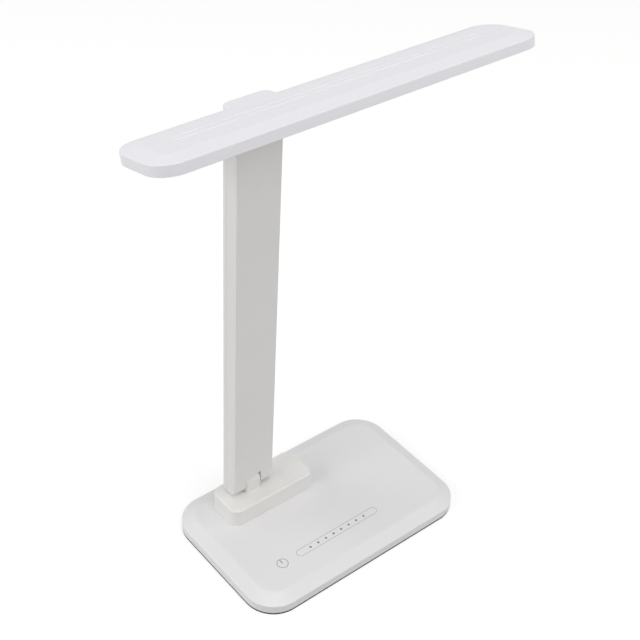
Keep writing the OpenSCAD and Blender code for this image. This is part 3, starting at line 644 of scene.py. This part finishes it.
class LampColours(bpy.types.PropertyGroup):
    # The base, pedestal, stem and head are one white ABS. These four tones are lit and shaded copies of it,
    # painted light and shade for how the light falls on each part: the pedestal's is lighter, the stem's
    # darker, the base's a little pink and the head's a little blue.
    base: colour_choice("Base", "White ABS of the base", "#E9E8E9")
    pedestal: colour_choice("Pedestal", "White ABS of the hinge pedestal", "#EBEAE8")
    stem: colour_choice("Stem", "White ABS of the stem and both hinges", "#E7E6E5")
    head: colour_choice("Head", "White ABS of the head's top", "#EAE9EE")
    ink: colour_choice("Ink", "Printed dots of the slider", "#77777E")
    ink_line: colour_choice("Ink line", "Printed outline of the slider", "#B8B8BF")
    ink_ring: colour_choice("Ink ring", "Printed power mark", "#92929B")
    # The pad is drawn darker than its own black foam so that it carries the contact shadow along the base's
    # bottom edge. This is real colour with painted shade.
    foam: colour_choice("Foam", "Anti-slip pad", "#1F1F21")
    steel: colour_choice("Steel", "Zinc-plated steel sheet", "#A9ABAE")
    nickel: colour_choice("Nickel", "Nickel-plated screws, pins and socket", "#D2CFC8")
    board_dark: colour_choice("Board dark", "Solder mask between the strands", "#1F5A36")
    board_light: colour_choice("Board light", "Solder mask over the strands", "#2F7A4A")
    resin: colour_choice("Resin", "Black moulded packages", "#2A2A2C")
    jacket: colour_choice("Jacket", "Wire jackets", "#DADAD8")
    opal: colour_choice("Opal", "Diffuser", "#F2F2EF")
    phosphor: colour_choice("Phosphor", "Phosphor of the LEDs", "#E9C84B")
    paper: colour_choice("Paper", "Studio floor", "#B9B9B9")


class LampStudio(bpy.types.PropertyGroup):
    azimuth: angle("Azimuth", "Side the camera stands on", -41.139)
    elevation: angle("Elevation", "Camera's angle above level", 38.531)
    roll: angle("Roll", "Camera's turn about its own axis", 3.5195)
    place: FloatVectorProperty(
        name="Place", description="Where the camera stands", default=(-0.42828, -0.47861, 0.69978),
        subtype="TRANSLATION",
    )
    lens: plain_number("Lens", "Focal length in millimetres on a 36 mm frame", 68.967)
    sky: plain_number("Sky", "Strength of the light from all sides", 0.27)
    key: plain_number("Key", "Factor on the power of all softboxes", 1.0)
    paper_lift: plain_number("Paper lift", "How far the camera sees the floor lifted", 0.6)


def sizes():
    return bpy.context.scene.lamp_sizes


def colours():
    return bpy.context.scene.lamp_colours


def shared(name, make, *arguments):
    """A material by its name, made the first time it is asked for."""
    return bpy.data.materials.get(name) or make(*arguments)


def body_abs(part):
    """The satin ABS of the base, the pedestal or the stem, in that part's own tone of painted light and
    shade.
    """
    name = "satin_moulded_abs_" + part
    return shared(name, moulded_abs, name, getattr(colours(), part), 0.38)


def head_abs():
    # The head's tone, a little blue, is painted light.
    return shared("glossy_moulded_abs", moulded_abs, "glossy_moulded_abs", colours().head, 0.32)


def nickel():
    return shared("nickel_plated_steel", nickel_plated_steel, colours().nickel)


def package_resin():
    return shared("black_moulded_resin", black_resin, "black_moulded_resin", colours().resin, 0.6, 0.5)


def dress_nodes(material, *nodes):
    """Gives frame nodes that keep their own shape a finished material."""
    for node in nodes:
        mesh = frame["nodes"][node].data
        mesh.materials.clear()
        mesh.materials.append(material)


# ---------------------------------------------------------------- the studio


class LAMP_OT_studio(bpy.types.Operator):
    """Floor, soft lights, white surroundings and the camera"""

    bl_idname = "lamp.studio"
    bl_label = "Studio"

    # Name, watts, width, tint, and place from the object's middle, in metres
    SOFTBOXES = (
        ("top_softbox", 17.0, 1.6, "#FFFFFF", (0, 0, 2.2)),
        ("top_front_softbox", 8.7, 1.2, "#FFFFFF", (0, -1.5, 1.8)),
        ("left_softbox", 17.5, 1.2, "#FFFFFF", (-2.2, -0.2, 0.9)),
        ("left_rear_softbox", 10.0, 1.2, "#FFFFFF", (-1.6, 1.6, 0.9)),
        ("right_front_softbox", 16.0, 1.2, "#FFFDF9", (1.7, -1.5, 0.9)),
    )

    def execute(self, context):
        studio = context.scene.lamp_studio
        self.set_world(context.scene, studio.sky)
        self.lay_floor(studio.paper_lift)
        middle = (CAD_LOW + CAD_HIGH) / 2
        for name, watts, width, tint, place in self.SOFTBOXES:
            self.hang_light(name, watts * studio.key, width, tint, middle + Vector(place), middle)
        self.place_camera(context.scene, studio)
        context.scene.view_settings.view_transform = "Standard"
        return {"FINISHED"}

    def set_world(self, scene, sky):
        world = bpy.data.worlds.new("white_surroundings")
        scene.world = world
        world.use_nodes = True
        tree = world.node_tree
        shader = tree.nodes["Background"]
        shader.inputs["Color"].default_value = (1, 1, 1, 1)
        level = add(tree, "MapRange", {"To Min": sky, "To Max": 1.0}, {"Value": seen_directly(tree)})
        tree.links.new(level.outputs["Result"], shader.inputs["Strength"])

    def lay_floor(self, lift):
        """Paper 6 m wide, just under the pad, so that their faces don't lie in one plane"""
        bm = bmesh.new()
        bmesh.ops.create_grid(bm, x_segments=1, y_segments=1, size=3.0)
        floor = new_piece("studio_floor", bm)
        floor.location.z = -0.05 * MM
        floor.data.materials.append(studio_paper(colours().paper, lift))

    def hang_light(self, name, power, width, tint, place, target):
        light = bpy.data.lights.new(name, "AREA")
        light.energy = power
        light.size = width
        light.color = linear(tint)
        lamp = bpy.data.objects.new(name, light)
        lamp.location = place
        lamp.rotation_euler = (target - place).to_track_quat("-Z", "Y").to_euler()
        bpy.context.scene.collection.objects.link(lamp)

    def place_camera(self, scene, studio):
        camera = bpy.data.cameras.new("camera")
        camera.lens = studio.lens
        camera.clip_start = 0.05
        camera.clip_end = 20
        holder = bpy.data.objects.new("camera", camera)
        turn = Matrix.Rotation(studio.azimuth, 4, "Z")
        turn = turn @ Matrix.Rotation(math.pi / 2 - studio.elevation, 4, "X")
        turn = turn @ Matrix.Rotation(studio.roll, 4, "Z")
        holder.matrix_world = Matrix.Translation(studio.place) @ turn
        scene.collection.objects.link(holder)
        scene.camera = holder


# ---------------------------------------------------------------- the base


class LAMP_OT_base_cover(bpy.types.Operator):
    """Top cover of the base, with its sloping edge and the socket's opening"""

    bl_idname = "lamp.base_cover"
    bl_label = "Base cover"

    def execute(self, context):
        s = sizes()
        low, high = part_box("base_top_cover")
        outline = plate(low, high, s.base_corner, steps=24)
        path = sloped_edge(s.base_wall, low.z, s.base_wall_top, s.base_slope, high.z)
        cover = new_piece("base_cover_moulding", mould(outline, path))
        ceiling = high.z - s.base_top
        hollow = sloped_hollow(s.base_wall, low.z, s.base_wall_top, s.base_slope, ceiling)
        carve(cover, mould(inset(outline, s.base_wall), hollow), self.socket_cut(high.y))
        bosses = posts("base_screws", s.big_post, s.big_pilot, low.z + s.base_floor, ceiling + ROOT)
        carve(cover, *bosses, operation="UNION")
        clean(cover)
        finish_piece(cover, "base", body_abs("base"), ["base_top_cover"])
        return {"FINISHED"}

    def socket_cut(self, rear):
        """The round-ended opening, with a small flare at the outside"""
        low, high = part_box("power_inlet")
        flare = 0.35 * MM
        half = (high.z - low.z) / 2 + FIT
        outline = plate((low.x - FIT, -high.z - FIT), (high.x + FIT, -low.z + FIT), half, steps=12)
        inner_end = low.y + (high.y - low.y) / 4
        path = [(0, inner_end), (0, rear - flare), (-flare, rear), (-flare, rear + PAST)]
        return mould(outline, path, REAR_VIEW)


class LAMP_OT_base_underside(bpy.types.Operator):
    """Anti-slip pad and bottom cover"""

    bl_idname = "lamp.base_underside"
    bl_label = "Base underside"

    def execute(self, context):
        s = sizes()
        low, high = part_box("anti_slip_pad")
        base_low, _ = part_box("base_top_cover")
        outline = plate(low, high, s.base_corner - (low.x - base_low.x), steps=24)
        edge = edge_path(low.z, high.z, foot=0.15 * MM, rim=0.1 * MM)
        pad = new_piece("anti_slip_pad_foam", mould(inset(outline, -s.pad_squeeze), edge))
        finish_piece(pad, "base", foam_rubber(colours().foam), ["anti_slip_pad"])
        dress_nodes(body_abs("base"), "base_bottom_cover")
        return {"FINISHED"}


class LAMP_OT_touch_marks(bpy.types.Operator):
    """Printed power mark and slider with its dots, over the touch board"""

    bl_idname = "lamp.touch_marks"
    bl_label = "Touch marks"

    DOTS = 8
    # Half the opening at the top of the power mark's ring
    RING_GAP = math.radians(9)

    def execute(self, context):
        marks = context.scene.lamp_marks
        low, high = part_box("touch_board")
        middle = (low + high) / 2
        middle.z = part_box("base_top_cover")[1].z
        grey = printed_ink("pad_printed_grey_ink", colours().ink)
        pale = printed_ink("pad_printed_pale_ink", colours().ink_line)
        self.print_slider(marks, middle + Vector((marks.slider_shift, 0, 0)), grey, pale)
        mid = printed_ink("pad_printed_mid_ink", colours().ink_ring)
        self.print_ring(marks, middle - Vector((marks.ring_shift, 0, 0)), grey, mid)
        return {"FINISHED"}

    def film(self, name, parts, material):
        finish_piece(new_piece(name, gather(*parts)), "base", material)

    def band(self, outline, line, ink, place):
        path = [(0, -ink), (0, ink), (line, ink), (line, -ink)]
        return mould(outline, path, place, ring=True)

    def print_slider(self, marks, middle, grey, pale):
        place = Matrix.Translation(middle)
        half = Vector((marks.slider_length, marks.slider_width)) / 2
        outline = plate(-half, half, half.y * SLOT_END)
        self.film("slider_outline_print", [self.band(outline, marks.line, marks.ink, place)], pale)
        dots = []
        for i in range(self.DOTS):
            spot = disc(marks.dot_radius, ((i - (self.DOTS - 1) / 2) * marks.dot_pitch, 0), steps=24)
            dots.append(mould(spot, [(0, -marks.ink), (0, marks.ink)], place))
        self.film("slider_dots_print", dots, grey)

    def print_ring(self, marks, middle, grey, mid):
        place = Matrix.Translation(middle)
        steps = 40
        first = math.pi / 2 + self.RING_GAP
        turn = 2 * math.pi - 2 * self.RING_GAP
        turns = [first + turn * i / steps for i in range(steps + 1)]
        outer = [Vector((math.cos(t), math.sin(t))) * marks.ring_radius for t in turns]
        inner = [p * (1 - marks.line / marks.ring_radius) for p in reversed(outer)]
        ring = mould(outer + inner, [(0, -marks.ink), (0, marks.ink)], place)
        self.film("power_ring_print", [ring], mid)
        half = marks.tick / 2
        tick = box_mould((-half, 0, -marks.ink), (half, marks.ring_radius, marks.ink), place)
        self.film("power_tick_print", [tick], grey)


class LAMP_OT_power_socket(bpy.types.Operator):
    """Flat power socket in the rear edge: metal shell, black tongue and contacts"""

    bl_idname = "lamp.power_socket"
    bl_label = "Power socket"

    SHEET = 0.3 * MM
    # The tongue is narrower than the shell by the first, and this thick
    TONGUE_SIDES = 2.25 * MM
    TONGUE_HEIGHT = 0.7 * MM
    TONGUE_CORNER = 0.2 * MM
    CONTACTS = 8
    CONTACT_PITCH = 0.75 * MM
    # Half the width and half the thickness of a contact strip
    CONTACT_HALF = Vector((0.15, 0.03)) * MM

    def execute(self, context):
        low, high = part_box("power_inlet")
        middle = (low + high) / 2
        place = Matrix.Translation((middle.x, high.y, middle.z)) @ Matrix.Rotation(math.pi / 2, 4, "X")
        width, height, depth = high.x - low.x, high.z - low.z, high.y - low.y
        wall = self.SHEET
        half = Vector((width, height)) / 2
        outline = plate(-half, half, half.y * SLOT_END, steps=12)
        lip = wall / 5
        path = [(wall, depth - 2 * wall), (wall, wall / 2), (wall - lip, 0)]
        path += [(lip, 0), (0, wall / 2), (0, depth)]
        shell = new_piece("socket_shell", mould(outline, path, place))
        finish_piece(shell, "base", nickel(), ["power_inlet"])
        half = Vector((width - self.TONGUE_SIDES, self.TONGUE_HEIGHT)) / 2
        path = [(0, depth - 3 * wall), (0, 4 * wall), (wall / 2, 3.5 * wall)]
        outline = plate(-half, half, self.TONGUE_CORNER, steps=4)
        tongue = new_piece("socket_tongue", mould(outline, path, place))
        finish_piece(tongue, "base", package_resin())
        contacts = []
        for i in range(self.CONTACTS):
            for side in (-1, 1):
                spot = Vector(((i - (self.CONTACTS - 1) / 2) * self.CONTACT_PITCH, side * half.y))
                corner, far_corner = spot - self.CONTACT_HALF, spot + self.CONTACT_HALF
                contacts.append(box_mould((*corner, 5 * wall), (*far_corner, depth - 4 * wall), place))
        finish_piece(new_piece("socket_contacts", gather(*contacts)), "base", nickel())
        return {"FINISHED"}


# ---------------------------------------------------------------- hinges


def knuckle_mould(neck_from, neck_to, place):
    """A round-ended hinge knuckle with its neck, seen from the side"""
    s = sizes()
    radius = stem_radius()
    low, high = sorted((neck_from, neck_to))
    corners = [(-radius, low), (radius, low), (radius, high), (-radius, high)]
    end = radius * ROUND_END
    radii = [0, 0, end, end] if neck_from < neck_to else [end, end, 0, 0]
    half = s.knuckle_width / 2
    path = edge_path(-half, half, s.rim, s.rim)
    return mould(rounded(corners, radii, steps=20), path, place @ SIDE_VIEW)


# The caps over the pins have a plate of this thickness, wider than their plug by this much
CAP_THICKNESS = 1.2 * MM
CAP_RIM = 1.4 * MM


class LAMP_OT_pedestal(bpy.types.Operator):
    """Hinge pedestal with its fixed knuckle"""

    bl_idname = "lamp.pedestal"
    bl_label = "Pedestal"

    def execute(self, context):
        s = sizes()
        low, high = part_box("hinge_pedestal")
        top = pivot("stem_fold").z - ear_drop()
        outline = plate(low, high, s.pedestal_corner)
        edge = edge_path(low.z, top, foot=FIT, rim=s.pedestal_edge)
        pedestal = new_piece("pedestal_moulding", mould(outline, edge))
        knuckle = knuckle_mould(-ear_drop() - s.base_wall / 2, stem_radius(), STEM_PLACE)
        carve(pedestal, knuckle, operation="UNION")
        ceiling = top - s.base_wall
        carve(pedestal, mould(inset(outline, s.base_wall), [(0, low.z - s.base_wall), (0, ceiling)]))
        bosses = posts("pedestal_screws", s.big_post, s.big_pilot, low.z, ceiling + ROOT)
        carve(pedestal, *bosses, operation="UNION")
        carve(pedestal, *hinge_bores("base_hinge_pin", "base_friction_washers", STEM_PLACE))
        soften(pedestal, s.broken)
        finish_piece(pedestal, "base", body_abs("pedestal"), ["hinge_pedestal"])
        return {"FINISHED"}


def flange_front():
    """The front edge of the head knuckle's flange, a little behind the front of the stem"""
    setback = 0.45 * MM
    return setback - stem_radius()


class LAMP_OT_head_knuckle(bpy.types.Operator):
    """Knuckle under the head, with the flange that closes the head's rear tab"""

    bl_idname = "lamp.head_knuckle"
    bl_label = "Head knuckle"

    def execute(self, context):
        s = sizes()
        low, high = head_box("head_knuckle")
        front, rear = flange_front(), stem_radius() - s.head_wall - FIT
        corners = [(low.x, front), (high.x, front), (high.x, rear), (low.x, rear)]
        front_corner, rear_corner = 0.3 * MM, s.tab_corner - s.head_wall
        radii = [front_corner, front_corner, rear_corner, rear_corner]
        flange = rounded(corners, radii, steps=10)
        edge = edge_path(ear_drop(), high.z, foot=FIT, rim=FIT)
        knuckle = new_piece("head_knuckle_moulding", mould(flange, edge, HEAD_PLACE))
        neck = 2 * MM
        carve(knuckle, knuckle_mould(ear_drop() + neck, -stem_radius(), HEAD_PLACE), operation="UNION")
        seat = head_box("knuckle_screws")[0].z + WELL_DEPTH
        carve(knuckle, screw_wells("knuckle_screws", [(0, ear_drop() - PAST), (0, seat)], HEAD_PLACE))
        carve(knuckle, *hinge_bores("head_hinge_pin", "head_friction_washers", HEAD_PLACE))
        soften(knuckle, s.broken / 2)
        finish_piece(knuckle, "head", body_abs("stem"), ["head_knuckle"])
        return {"FINISHED"}


class LAMP_OT_hinge_hardware(bpy.types.Operator):
    """Hinge pins, friction washers and the caps over the pins"""

    bl_idname = "lamp.hinge_hardware"
    bl_label = "Hinge hardware"

    def execute(self, context):
        dress_nodes(nickel(), "base_hinge_pin", "head_hinge_pin")
        dress_nodes(nickel(), "base_friction_washers", "head_friction_washers")
        for node, place in (("lower_hinge_cap", STEM_PLACE), ("upper_hinge_cap", HEAD_PLACE)):
            low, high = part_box(node)
            centre = place.to_translation()
            radius = high.y - centre.y
            turned = Matrix.Translation((0, centre.y, centre.z)) @ SIDE_VIEW
            path = [(CAP_RIM, low.x), (CAP_RIM, high.x - CAP_THICKNESS)]
            path += edge_path(high.x - CAP_THICKNESS, high.x, foot=0.05 * MM, rim=0.25 * MM)
            cap = new_piece(node + "_moulding", mould(disc(radius), path, turned))
            finish_piece(cap, "stem", body_abs("stem"), [node])
        return {"FINISHED"}


# ---------------------------------------------------------------- the stem


class LAMP_OT_stem_covers(bpy.types.Operator):
    """Front shell and rear cover of the stem, with the ears at both ends"""

    bl_idname = "lamp.stem_covers"
    bl_label = "Stem covers"

    def execute(self, context):
        s = sizes()
        low, high = stem_box("stem_front_shell")
        seam = high.y
        radius = stem_radius()
        gap = s.seam / 2
        front = self.blank("stem_front_moulding", low, high)
        rear = self.blank("stem_rear_moulding", low, high)
        carve(front, box_mould((-FAR, seam - gap, low.z - FAR), (FAR, FAR, high.z + FAR), STEM_PLACE))
        carve(rear, box_mould((-FAR, -FAR, low.z - FAR), (FAR, seam + gap, high.z + FAR), STEM_PLACE))
        floor, ceiling = self.cavity()
        left, right = low.x + s.stem_wall, high.x - s.stem_wall
        depth = radius - s.stem_wall
        carve(front, box_mould((left, -depth, floor), (right, FAR, ceiling), STEM_PLACE))
        carve(rear, box_mould((left, -FAR, floor), (right, depth, ceiling), STEM_PLACE))
        rear_view = STEM_PLACE @ REAR_VIEW
        bosses = posts("stem_screws", s.small_post, s.small_pilot, -depth - ROOT, seam - gap, rear_view)
        carve(front, *bosses, operation="UNION")
        for cover in (front, rear):
            self.bore_hinges(cover)
            soften(cover, s.broken)
        # With a line across between two screws, no face of the rear cover has more than one well
        stops = self.stops()
        score(rear, [STEM_PLACE @ Vector((0, 0, (a + b) / 2)) for a, b in zip(stops, stops[1:])])
        flare = 0.25 * MM
        seat = stem_box("stem_screws")[1].y - WELL_DEPTH
        path = [(0, seat), (0, radius - flare), (-flare, radius), (-flare, radius + PAST)]
        carve(rear, screw_wells("stem_screws", path, rear_view))
        finish_piece(front, "stem", body_abs("stem"), ["stem_front_shell"])
        finish_piece(rear, "stem", body_abs("stem"), ["stem_rear_cover"])
        return {"FINISHED"}

    def cavity(self):
        """The heights between which the stem is hollow"""
        reach = ear_drop() + sizes().stem_wall
        return reach, hinge_span() - reach

    def blank(self, name, low, high):
        """The whole stem with both notches, before it is parted"""
        s = sizes()
        radius = stem_radius()
        corners = [(-radius, low.z), (radius, low.z), (radius, high.z), (-radius, high.z)]
        end = radius * ROUND_END
        outline = rounded(corners, [end, 0, end, end], steps=24)
        edge = edge_path(low.x, high.x, s.stem_edge, s.stem_edge)
        stem = new_piece(name, mould(outline, edge, STEM_PLACE @ SIDE_VIEW))
        half = s.knuckle_width / 2 + s.knuckle_gap
        top = hinge_span()
        carve(stem, box_mould((-half, -FAR, -FAR), (half, FAR, ear_drop()), STEM_PLACE))
        carve(stem, box_mould((-half, -FAR, top - ear_drop()), (half, FAR, top + FAR), STEM_PLACE))
        return stem

    def stops(self):
        """The heights where the stem's hollow ends, and those of the screws between them"""
        low, high = self.cavity()
        screws = [(a.z + b.z) / 2 for a, b in solid_boxes("stem_screws", STEM_PLACE)]
        return [low, *screws, high]

    def bore_hinges(self, cover):
        """Bores for the pins, seats for their caps and the channel of the wire"""
        clear = 0.06 * MM
        for pin, cap in (("base_hinge_pin", "lower_hinge_cap"), ("head_hinge_pin", "upper_hinge_cap")):
            pin_start = stem_box(pin)[0].x
            low, high = stem_box(cap)
            radius = (high.y - low.y) / 2 + clear
            seat = high.x - CAP_THICKNESS - clear
            path = [(CAP_RIM, pin_start - clear), (CAP_RIM, seat), (0, seat), (0, high.x + PAST)]
            carve(cover, mould(disc(radius, (low.yz + high.yz) / 2), path, STEM_PLACE @ SIDE_VIEW))
        low, high = stem_box("stem_wire")
        room = Vector((0.1, 0.1, 0.1)) * MM
        carve(cover, box_mould(low - room, high + room, STEM_PLACE))


# ---------------------------------------------------------------- the head


class LAMP_OT_head_cover(bpy.types.Operator):
    """Top cover of the head, with its sloping edge, groove and rear tab"""

    bl_idname = "lamp.head_cover"
    bl_label = "Head cover"

    def execute(self, context):
        s = sizes()
        low, high = head_box("head_top_cover")
        rear = self.rear_edge(low)
        wall_top = low.z + s.head_wall_top
        outline = plate((low.x, low.y), (high.x, rear), s.head_corner, steps=24)
        path = sloped_edge(s.head_wall, low.z, wall_top, s.head_slope, high.z)
        cover = new_piece("head_cover_moulding", mould(outline, path, HEAD_PLACE))
        tab_low, tab_high = self.tab(rear - low.y)
        tab = plate(tab_low, tab_high, s.tab_corner, steps=12)
        tab_path = edge_path(low.z + SLIVER, high.z - SLIVER, s.rim / 2, s.rim)
        carve(cover, mould(tab, tab_path, HEAD_PLACE), operation="UNION")
        carve(cover, self.groove(low, high), ring=True)
        ceiling = high.z - s.head_wall
        hollow = sloped_hollow(s.head_wall, low.z, wall_top, s.head_slope, ceiling)
        carve(cover, mould(inset(outline, s.head_wall), hollow, HEAD_PLACE))
        tab_hollow = [(0, low.z - PAST), (0, ceiling - SLIVER)]
        carve(cover, mould(inset(tab, s.head_wall), tab_hollow, HEAD_PLACE))
        # The bosses for the bezel's screws end in the slope, and those for the knuckle's in the ceiling
        into_slope = 0.3 * MM
        ends = {
            "head_screws": (head_box("head_bezel")[1].z, wall_top + into_slope),
            "knuckle_screws": (head_box("head_knuckle")[1].z, ceiling + ROOT),
        }
        for node, (foot, top) in ends.items():
            bosses = posts(node, s.small_post, s.small_pilot, foot, top, HEAD_PLACE)
            carve(cover, *bosses, operation="UNION")
        clean(cover)
        finish_piece(cover, "head", head_abs(), ["head_top_cover"])
        return {"FINISHED"}

    def rear_edge(self, low):
        """The cover's rear edge, as far outside the bezel as its front edge is"""
        bezel_low, bezel_high = head_box("head_bezel")
        return bezel_high.y + bezel_low.y - low.y

    def tab(self, depth):
        """The rear tab: as wide as the stem, as deep as half the head, and level with the stem's back"""
        stem_low, stem_high = stem_box("stem_front_shell")
        radius = stem_radius()
        return Vector((stem_low.x, radius - depth / 2)), Vector((stem_high.x, radius))

    def groove(self, low, high):
        """A soft engraved line in the shape of a long slot"""
        s = sizes()
        half = s.groove_width / 2
        near = (low.x + s.groove_end, -s.groove_front - half)
        far = (high.x - s.groove_end, -s.groove_front + half)
        outline = plate(near, far, half * SLOT_END)
        # Each side of the line is this wide and slopes by about 32 degrees
        side = 1.6 * s.groove_depth
        top = high.z + SLIVER
        bottom = high.z - s.groove_depth
        corners = [(-2 * side, top), (-side, top), (0, bottom), (side, top), (2 * side, top)]
        radii = [0, side, 0.6 * side, side, 0]
        path = rounded(corners, radii, closed=False, steps=4)[1:-1]
        lid = top + s.groove_depth
        return mould(outline, [(path[0][0], lid), *path, (path[-1][0], lid)], HEAD_PLACE, ring=True)


class LAMP_OT_head_underside(bpy.types.Operator):
    """Bezel and diffuser under the head"""

    bl_idname = "lamp.head_underside"
    bl_label = "Head underside"

    def execute(self, context):
        s = sizes()
        low, high = head_box("head_bezel")
        outline = plate(low, high, s.head_corner - s.head_wall, steps=20)
        edge = edge_path(low.z, high.z, foot=0.25 * MM, rim=0.1 * MM)
        bezel = new_piece("bezel_moulding", mould(outline, edge, HEAD_PLACE))
        glass_low, glass_high = head_box("diffuser")
        play = 0.1 * MM
        # The ledge that carries the diffuser
        ledge = 2 * MM
        ledge_top = low.z + 0.8 * MM
        window_corner = 3 * MM
        border = ledge - play
        near = (glass_low.x + border, glass_low.y + border)
        far = (glass_high.x - border, glass_high.y - border)
        window = plate(near, far, window_corner, steps=10)
        path = [(0, low.z - PAST), (0, ledge_top), (-ledge, ledge_top), (-ledge, high.z + PAST)]
        carve(bezel, mould(window, path, HEAD_PLACE))
        soften(bezel, s.broken / 2)
        carve(bezel, self.flange_cut(low.z, high.z))
        flare = 0.15 * MM
        path = [(-flare, low.z - PAST), (-flare, low.z), (0, low.z + flare), (0, low.z + PAST)]
        carve(bezel, screw_wells("head_screws", path, HEAD_PLACE))
        finish_piece(bezel, "head", body_abs("stem"), ["head_bezel"])
        face = inset(window, play)
        path = edge_path(glass_low.z, ledge_top, foot=0.15 * MM, rim=0)[:-1]
        path += [(-ledge, ledge_top + SLIVER), (-ledge, glass_high.z)]
        diffuser = new_piece("diffuser_plate", mould(face, path, HEAD_PLACE))
        finish_piece(diffuser, "head", opal_acrylic(colours().opal), ["diffuser"])
        return {"FINISHED"}

    def flange_cut(self, bottom, top):
        """The opening for the flange of the head's knuckle"""
        low, high = head_box("head_knuckle")
        near = (low.x - FIT, flange_front() - FIT, bottom - PAST)
        far = (high.x + FIT, high.y + PAST, top + PAST)
        return box_mould(near, far, HEAD_PLACE)


# ---------------------------------------------------------------- screws and inner parts


class LAMP_OT_screws(bpy.types.Operator):
    """Pan-head screws with cross recesses, in the stem's rear and in the head's underside and knuckle"""

    bl_idname = "lamp.screws"
    bl_label = "Screws"

    # Shares of the head's radius: the head's height, the thread's radius, and the arm and half width of
    # the recess
    HEAD = 0.47
    THREAD = 0.53
    ARM = 0.62
    SLOT = 0.17

    def execute(self, context):
        outward_back = Matrix.Rotation(-math.pi / 2, 4, "X")
        outward_down = Matrix.Rotation(math.pi, 4, "X")
        self.group("stem_screws", "stem", STEM_PLACE, outward_back)
        self.group("head_screws", "head", HEAD_PLACE, outward_down)
        self.group("knuckle_screws", "head", HEAD_PLACE, outward_down)
        dress_nodes(nickel(), "base_screws", "pedestal_screws")
        return {"FINISHED"}

    def group(self, node, body, place, outward):
        """Replaces a node's screws by finished ones; outward turns their heads away from the piece"""
        axis = outward @ Vector((0, 0, 1))
        parts = []
        for low, high in solid_boxes(node, place):
            size = high - low
            reach = abs(size.dot(axis))
            top = (low + high) / 2 + axis * reach / 2
            parts.append(self.screw(size.x / 2, reach, place @ Matrix.Translation(top) @ outward))
        screws = new_piece(node + "_finished", gather(*parts))
        finish_piece(screws, body, nickel(), [node])

    def screw(self, radius, reach, place):
        """One screw with the top of its head at zero"""
        head = self.HEAD * radius
        step = (1 - self.THREAD) * radius
        steps = 6
        turns = [math.pi / 2 * i / steps for i in range(steps)]
        dome = [(radius - radius * math.cos(t), -0.5 * head * (1 - math.sin(t))) for t in turns]
        path = [(step, -reach), (step, -head), (0, -head), *dome]
        blank = new_piece("screw", mould(disc(radius, steps=32), path))
        arm, slot = self.ARM * radius, self.SLOT * radius
        quarter = [Vector((slot, slot)), Vector((slot, arm)), Vector((-slot, arm))]
        cross = [Matrix.Rotation(math.pi / 2 * i, 2) @ corner for i in range(4) for corner in quarter]
        # The recess narrows a little to its bottom at three quarters of the head's height
        carve(blank, mould(cross, [(0.08 * radius, -0.75 * head), (0, 0.2 * head)]))
        bm = bmesh.new()
        bm.from_mesh(blank.data)
        bm.transform(place)
        bpy.data.objects.remove(blank)
        return bm


class LAMP_OT_inner_parts(bpy.types.Operator):
    """Finishes for the parts inside: boards, wires, weight, stiffener, reflector and LEDs"""

    bl_idname = "lamp.inner_parts"
    bl_label = "Inner parts"

    def execute(self, context):
        c = colours()
        dress_nodes(zinc_plated_steel(c.steel), "weight_plate", "stem_spine")
        green = solder_masked_board("green_solder_mask", c.board_dark, c.board_light)
        dress_nodes(green, "touch_board", "power_board")
        dress_nodes(solder_masked_board("white_solder_mask", dimmed(c.opal, 0.9), c.opal), "led_board")
        dress_nodes(black_resin("black_foam_tape", c.resin, 1.2, 0.85), "touch_tape")
        dress_nodes(package_resin(), "touch_components")
        dress_nodes(pvc_jacket(c.jacket), "power_lead", "base_wire", "stem_wire", "head_wire")
        dress_nodes(moulded_abs("white_formed_sheet", c.opal, 0.6), "reflector")
        dress_nodes(phosphor_package(c.opal, c.phosphor), "leds")
        return {"FINISHED"}


# ---------------------------------------------------------------- panel and run


SETTINGS = {
    "lamp_sizes": LampSizes,
    "lamp_marks": LampMarks,
    "lamp_colours": LampColours,
    "lamp_studio": LampStudio,
}
OPERATORS = (
    LAMP_OT_studio, LAMP_OT_base_cover, LAMP_OT_base_underside, LAMP_OT_touch_marks, LAMP_OT_power_socket,
    LAMP_OT_pedestal, LAMP_OT_stem_covers, LAMP_OT_hinge_hardware, LAMP_OT_head_cover,
    LAMP_OT_head_underside, LAMP_OT_head_knuckle, LAMP_OT_screws, LAMP_OT_inner_parts,
)


class LAMP_PT_panel(bpy.types.Panel):
    """Lists the lamp's pieces in the 3D view's sidebar"""

    bl_label = "Folding desk lamp"
    bl_space_type = "VIEW_3D"
    bl_region_type = "UI"
    bl_category = "Lamp"

    def draw(self, context):
        for operator in OPERATORS:
            self.layout.operator(operator.bl_idname)


def register():
    for kind in (*SETTINGS.values(), *OPERATORS, LAMP_PT_panel):
        bpy.utils.register_class(kind)
    for name, group in SETTINGS.items():
        setattr(bpy.types.Scene, name, PointerProperty(type=group))


def unregister():
    for name in SETTINGS:
        delattr(bpy.types.Scene, name)
    for kind in reversed((*SETTINGS.values(), *OPERATORS, LAMP_PT_panel)):
        bpy.utils.unregister_class(kind)


def main():
    register()
    for operator in OPERATORS:
        family, name = operator.bl_idname.split(".")
        getattr(getattr(bpy.ops, family), name)()


if __name__ == "__main__":
    main()
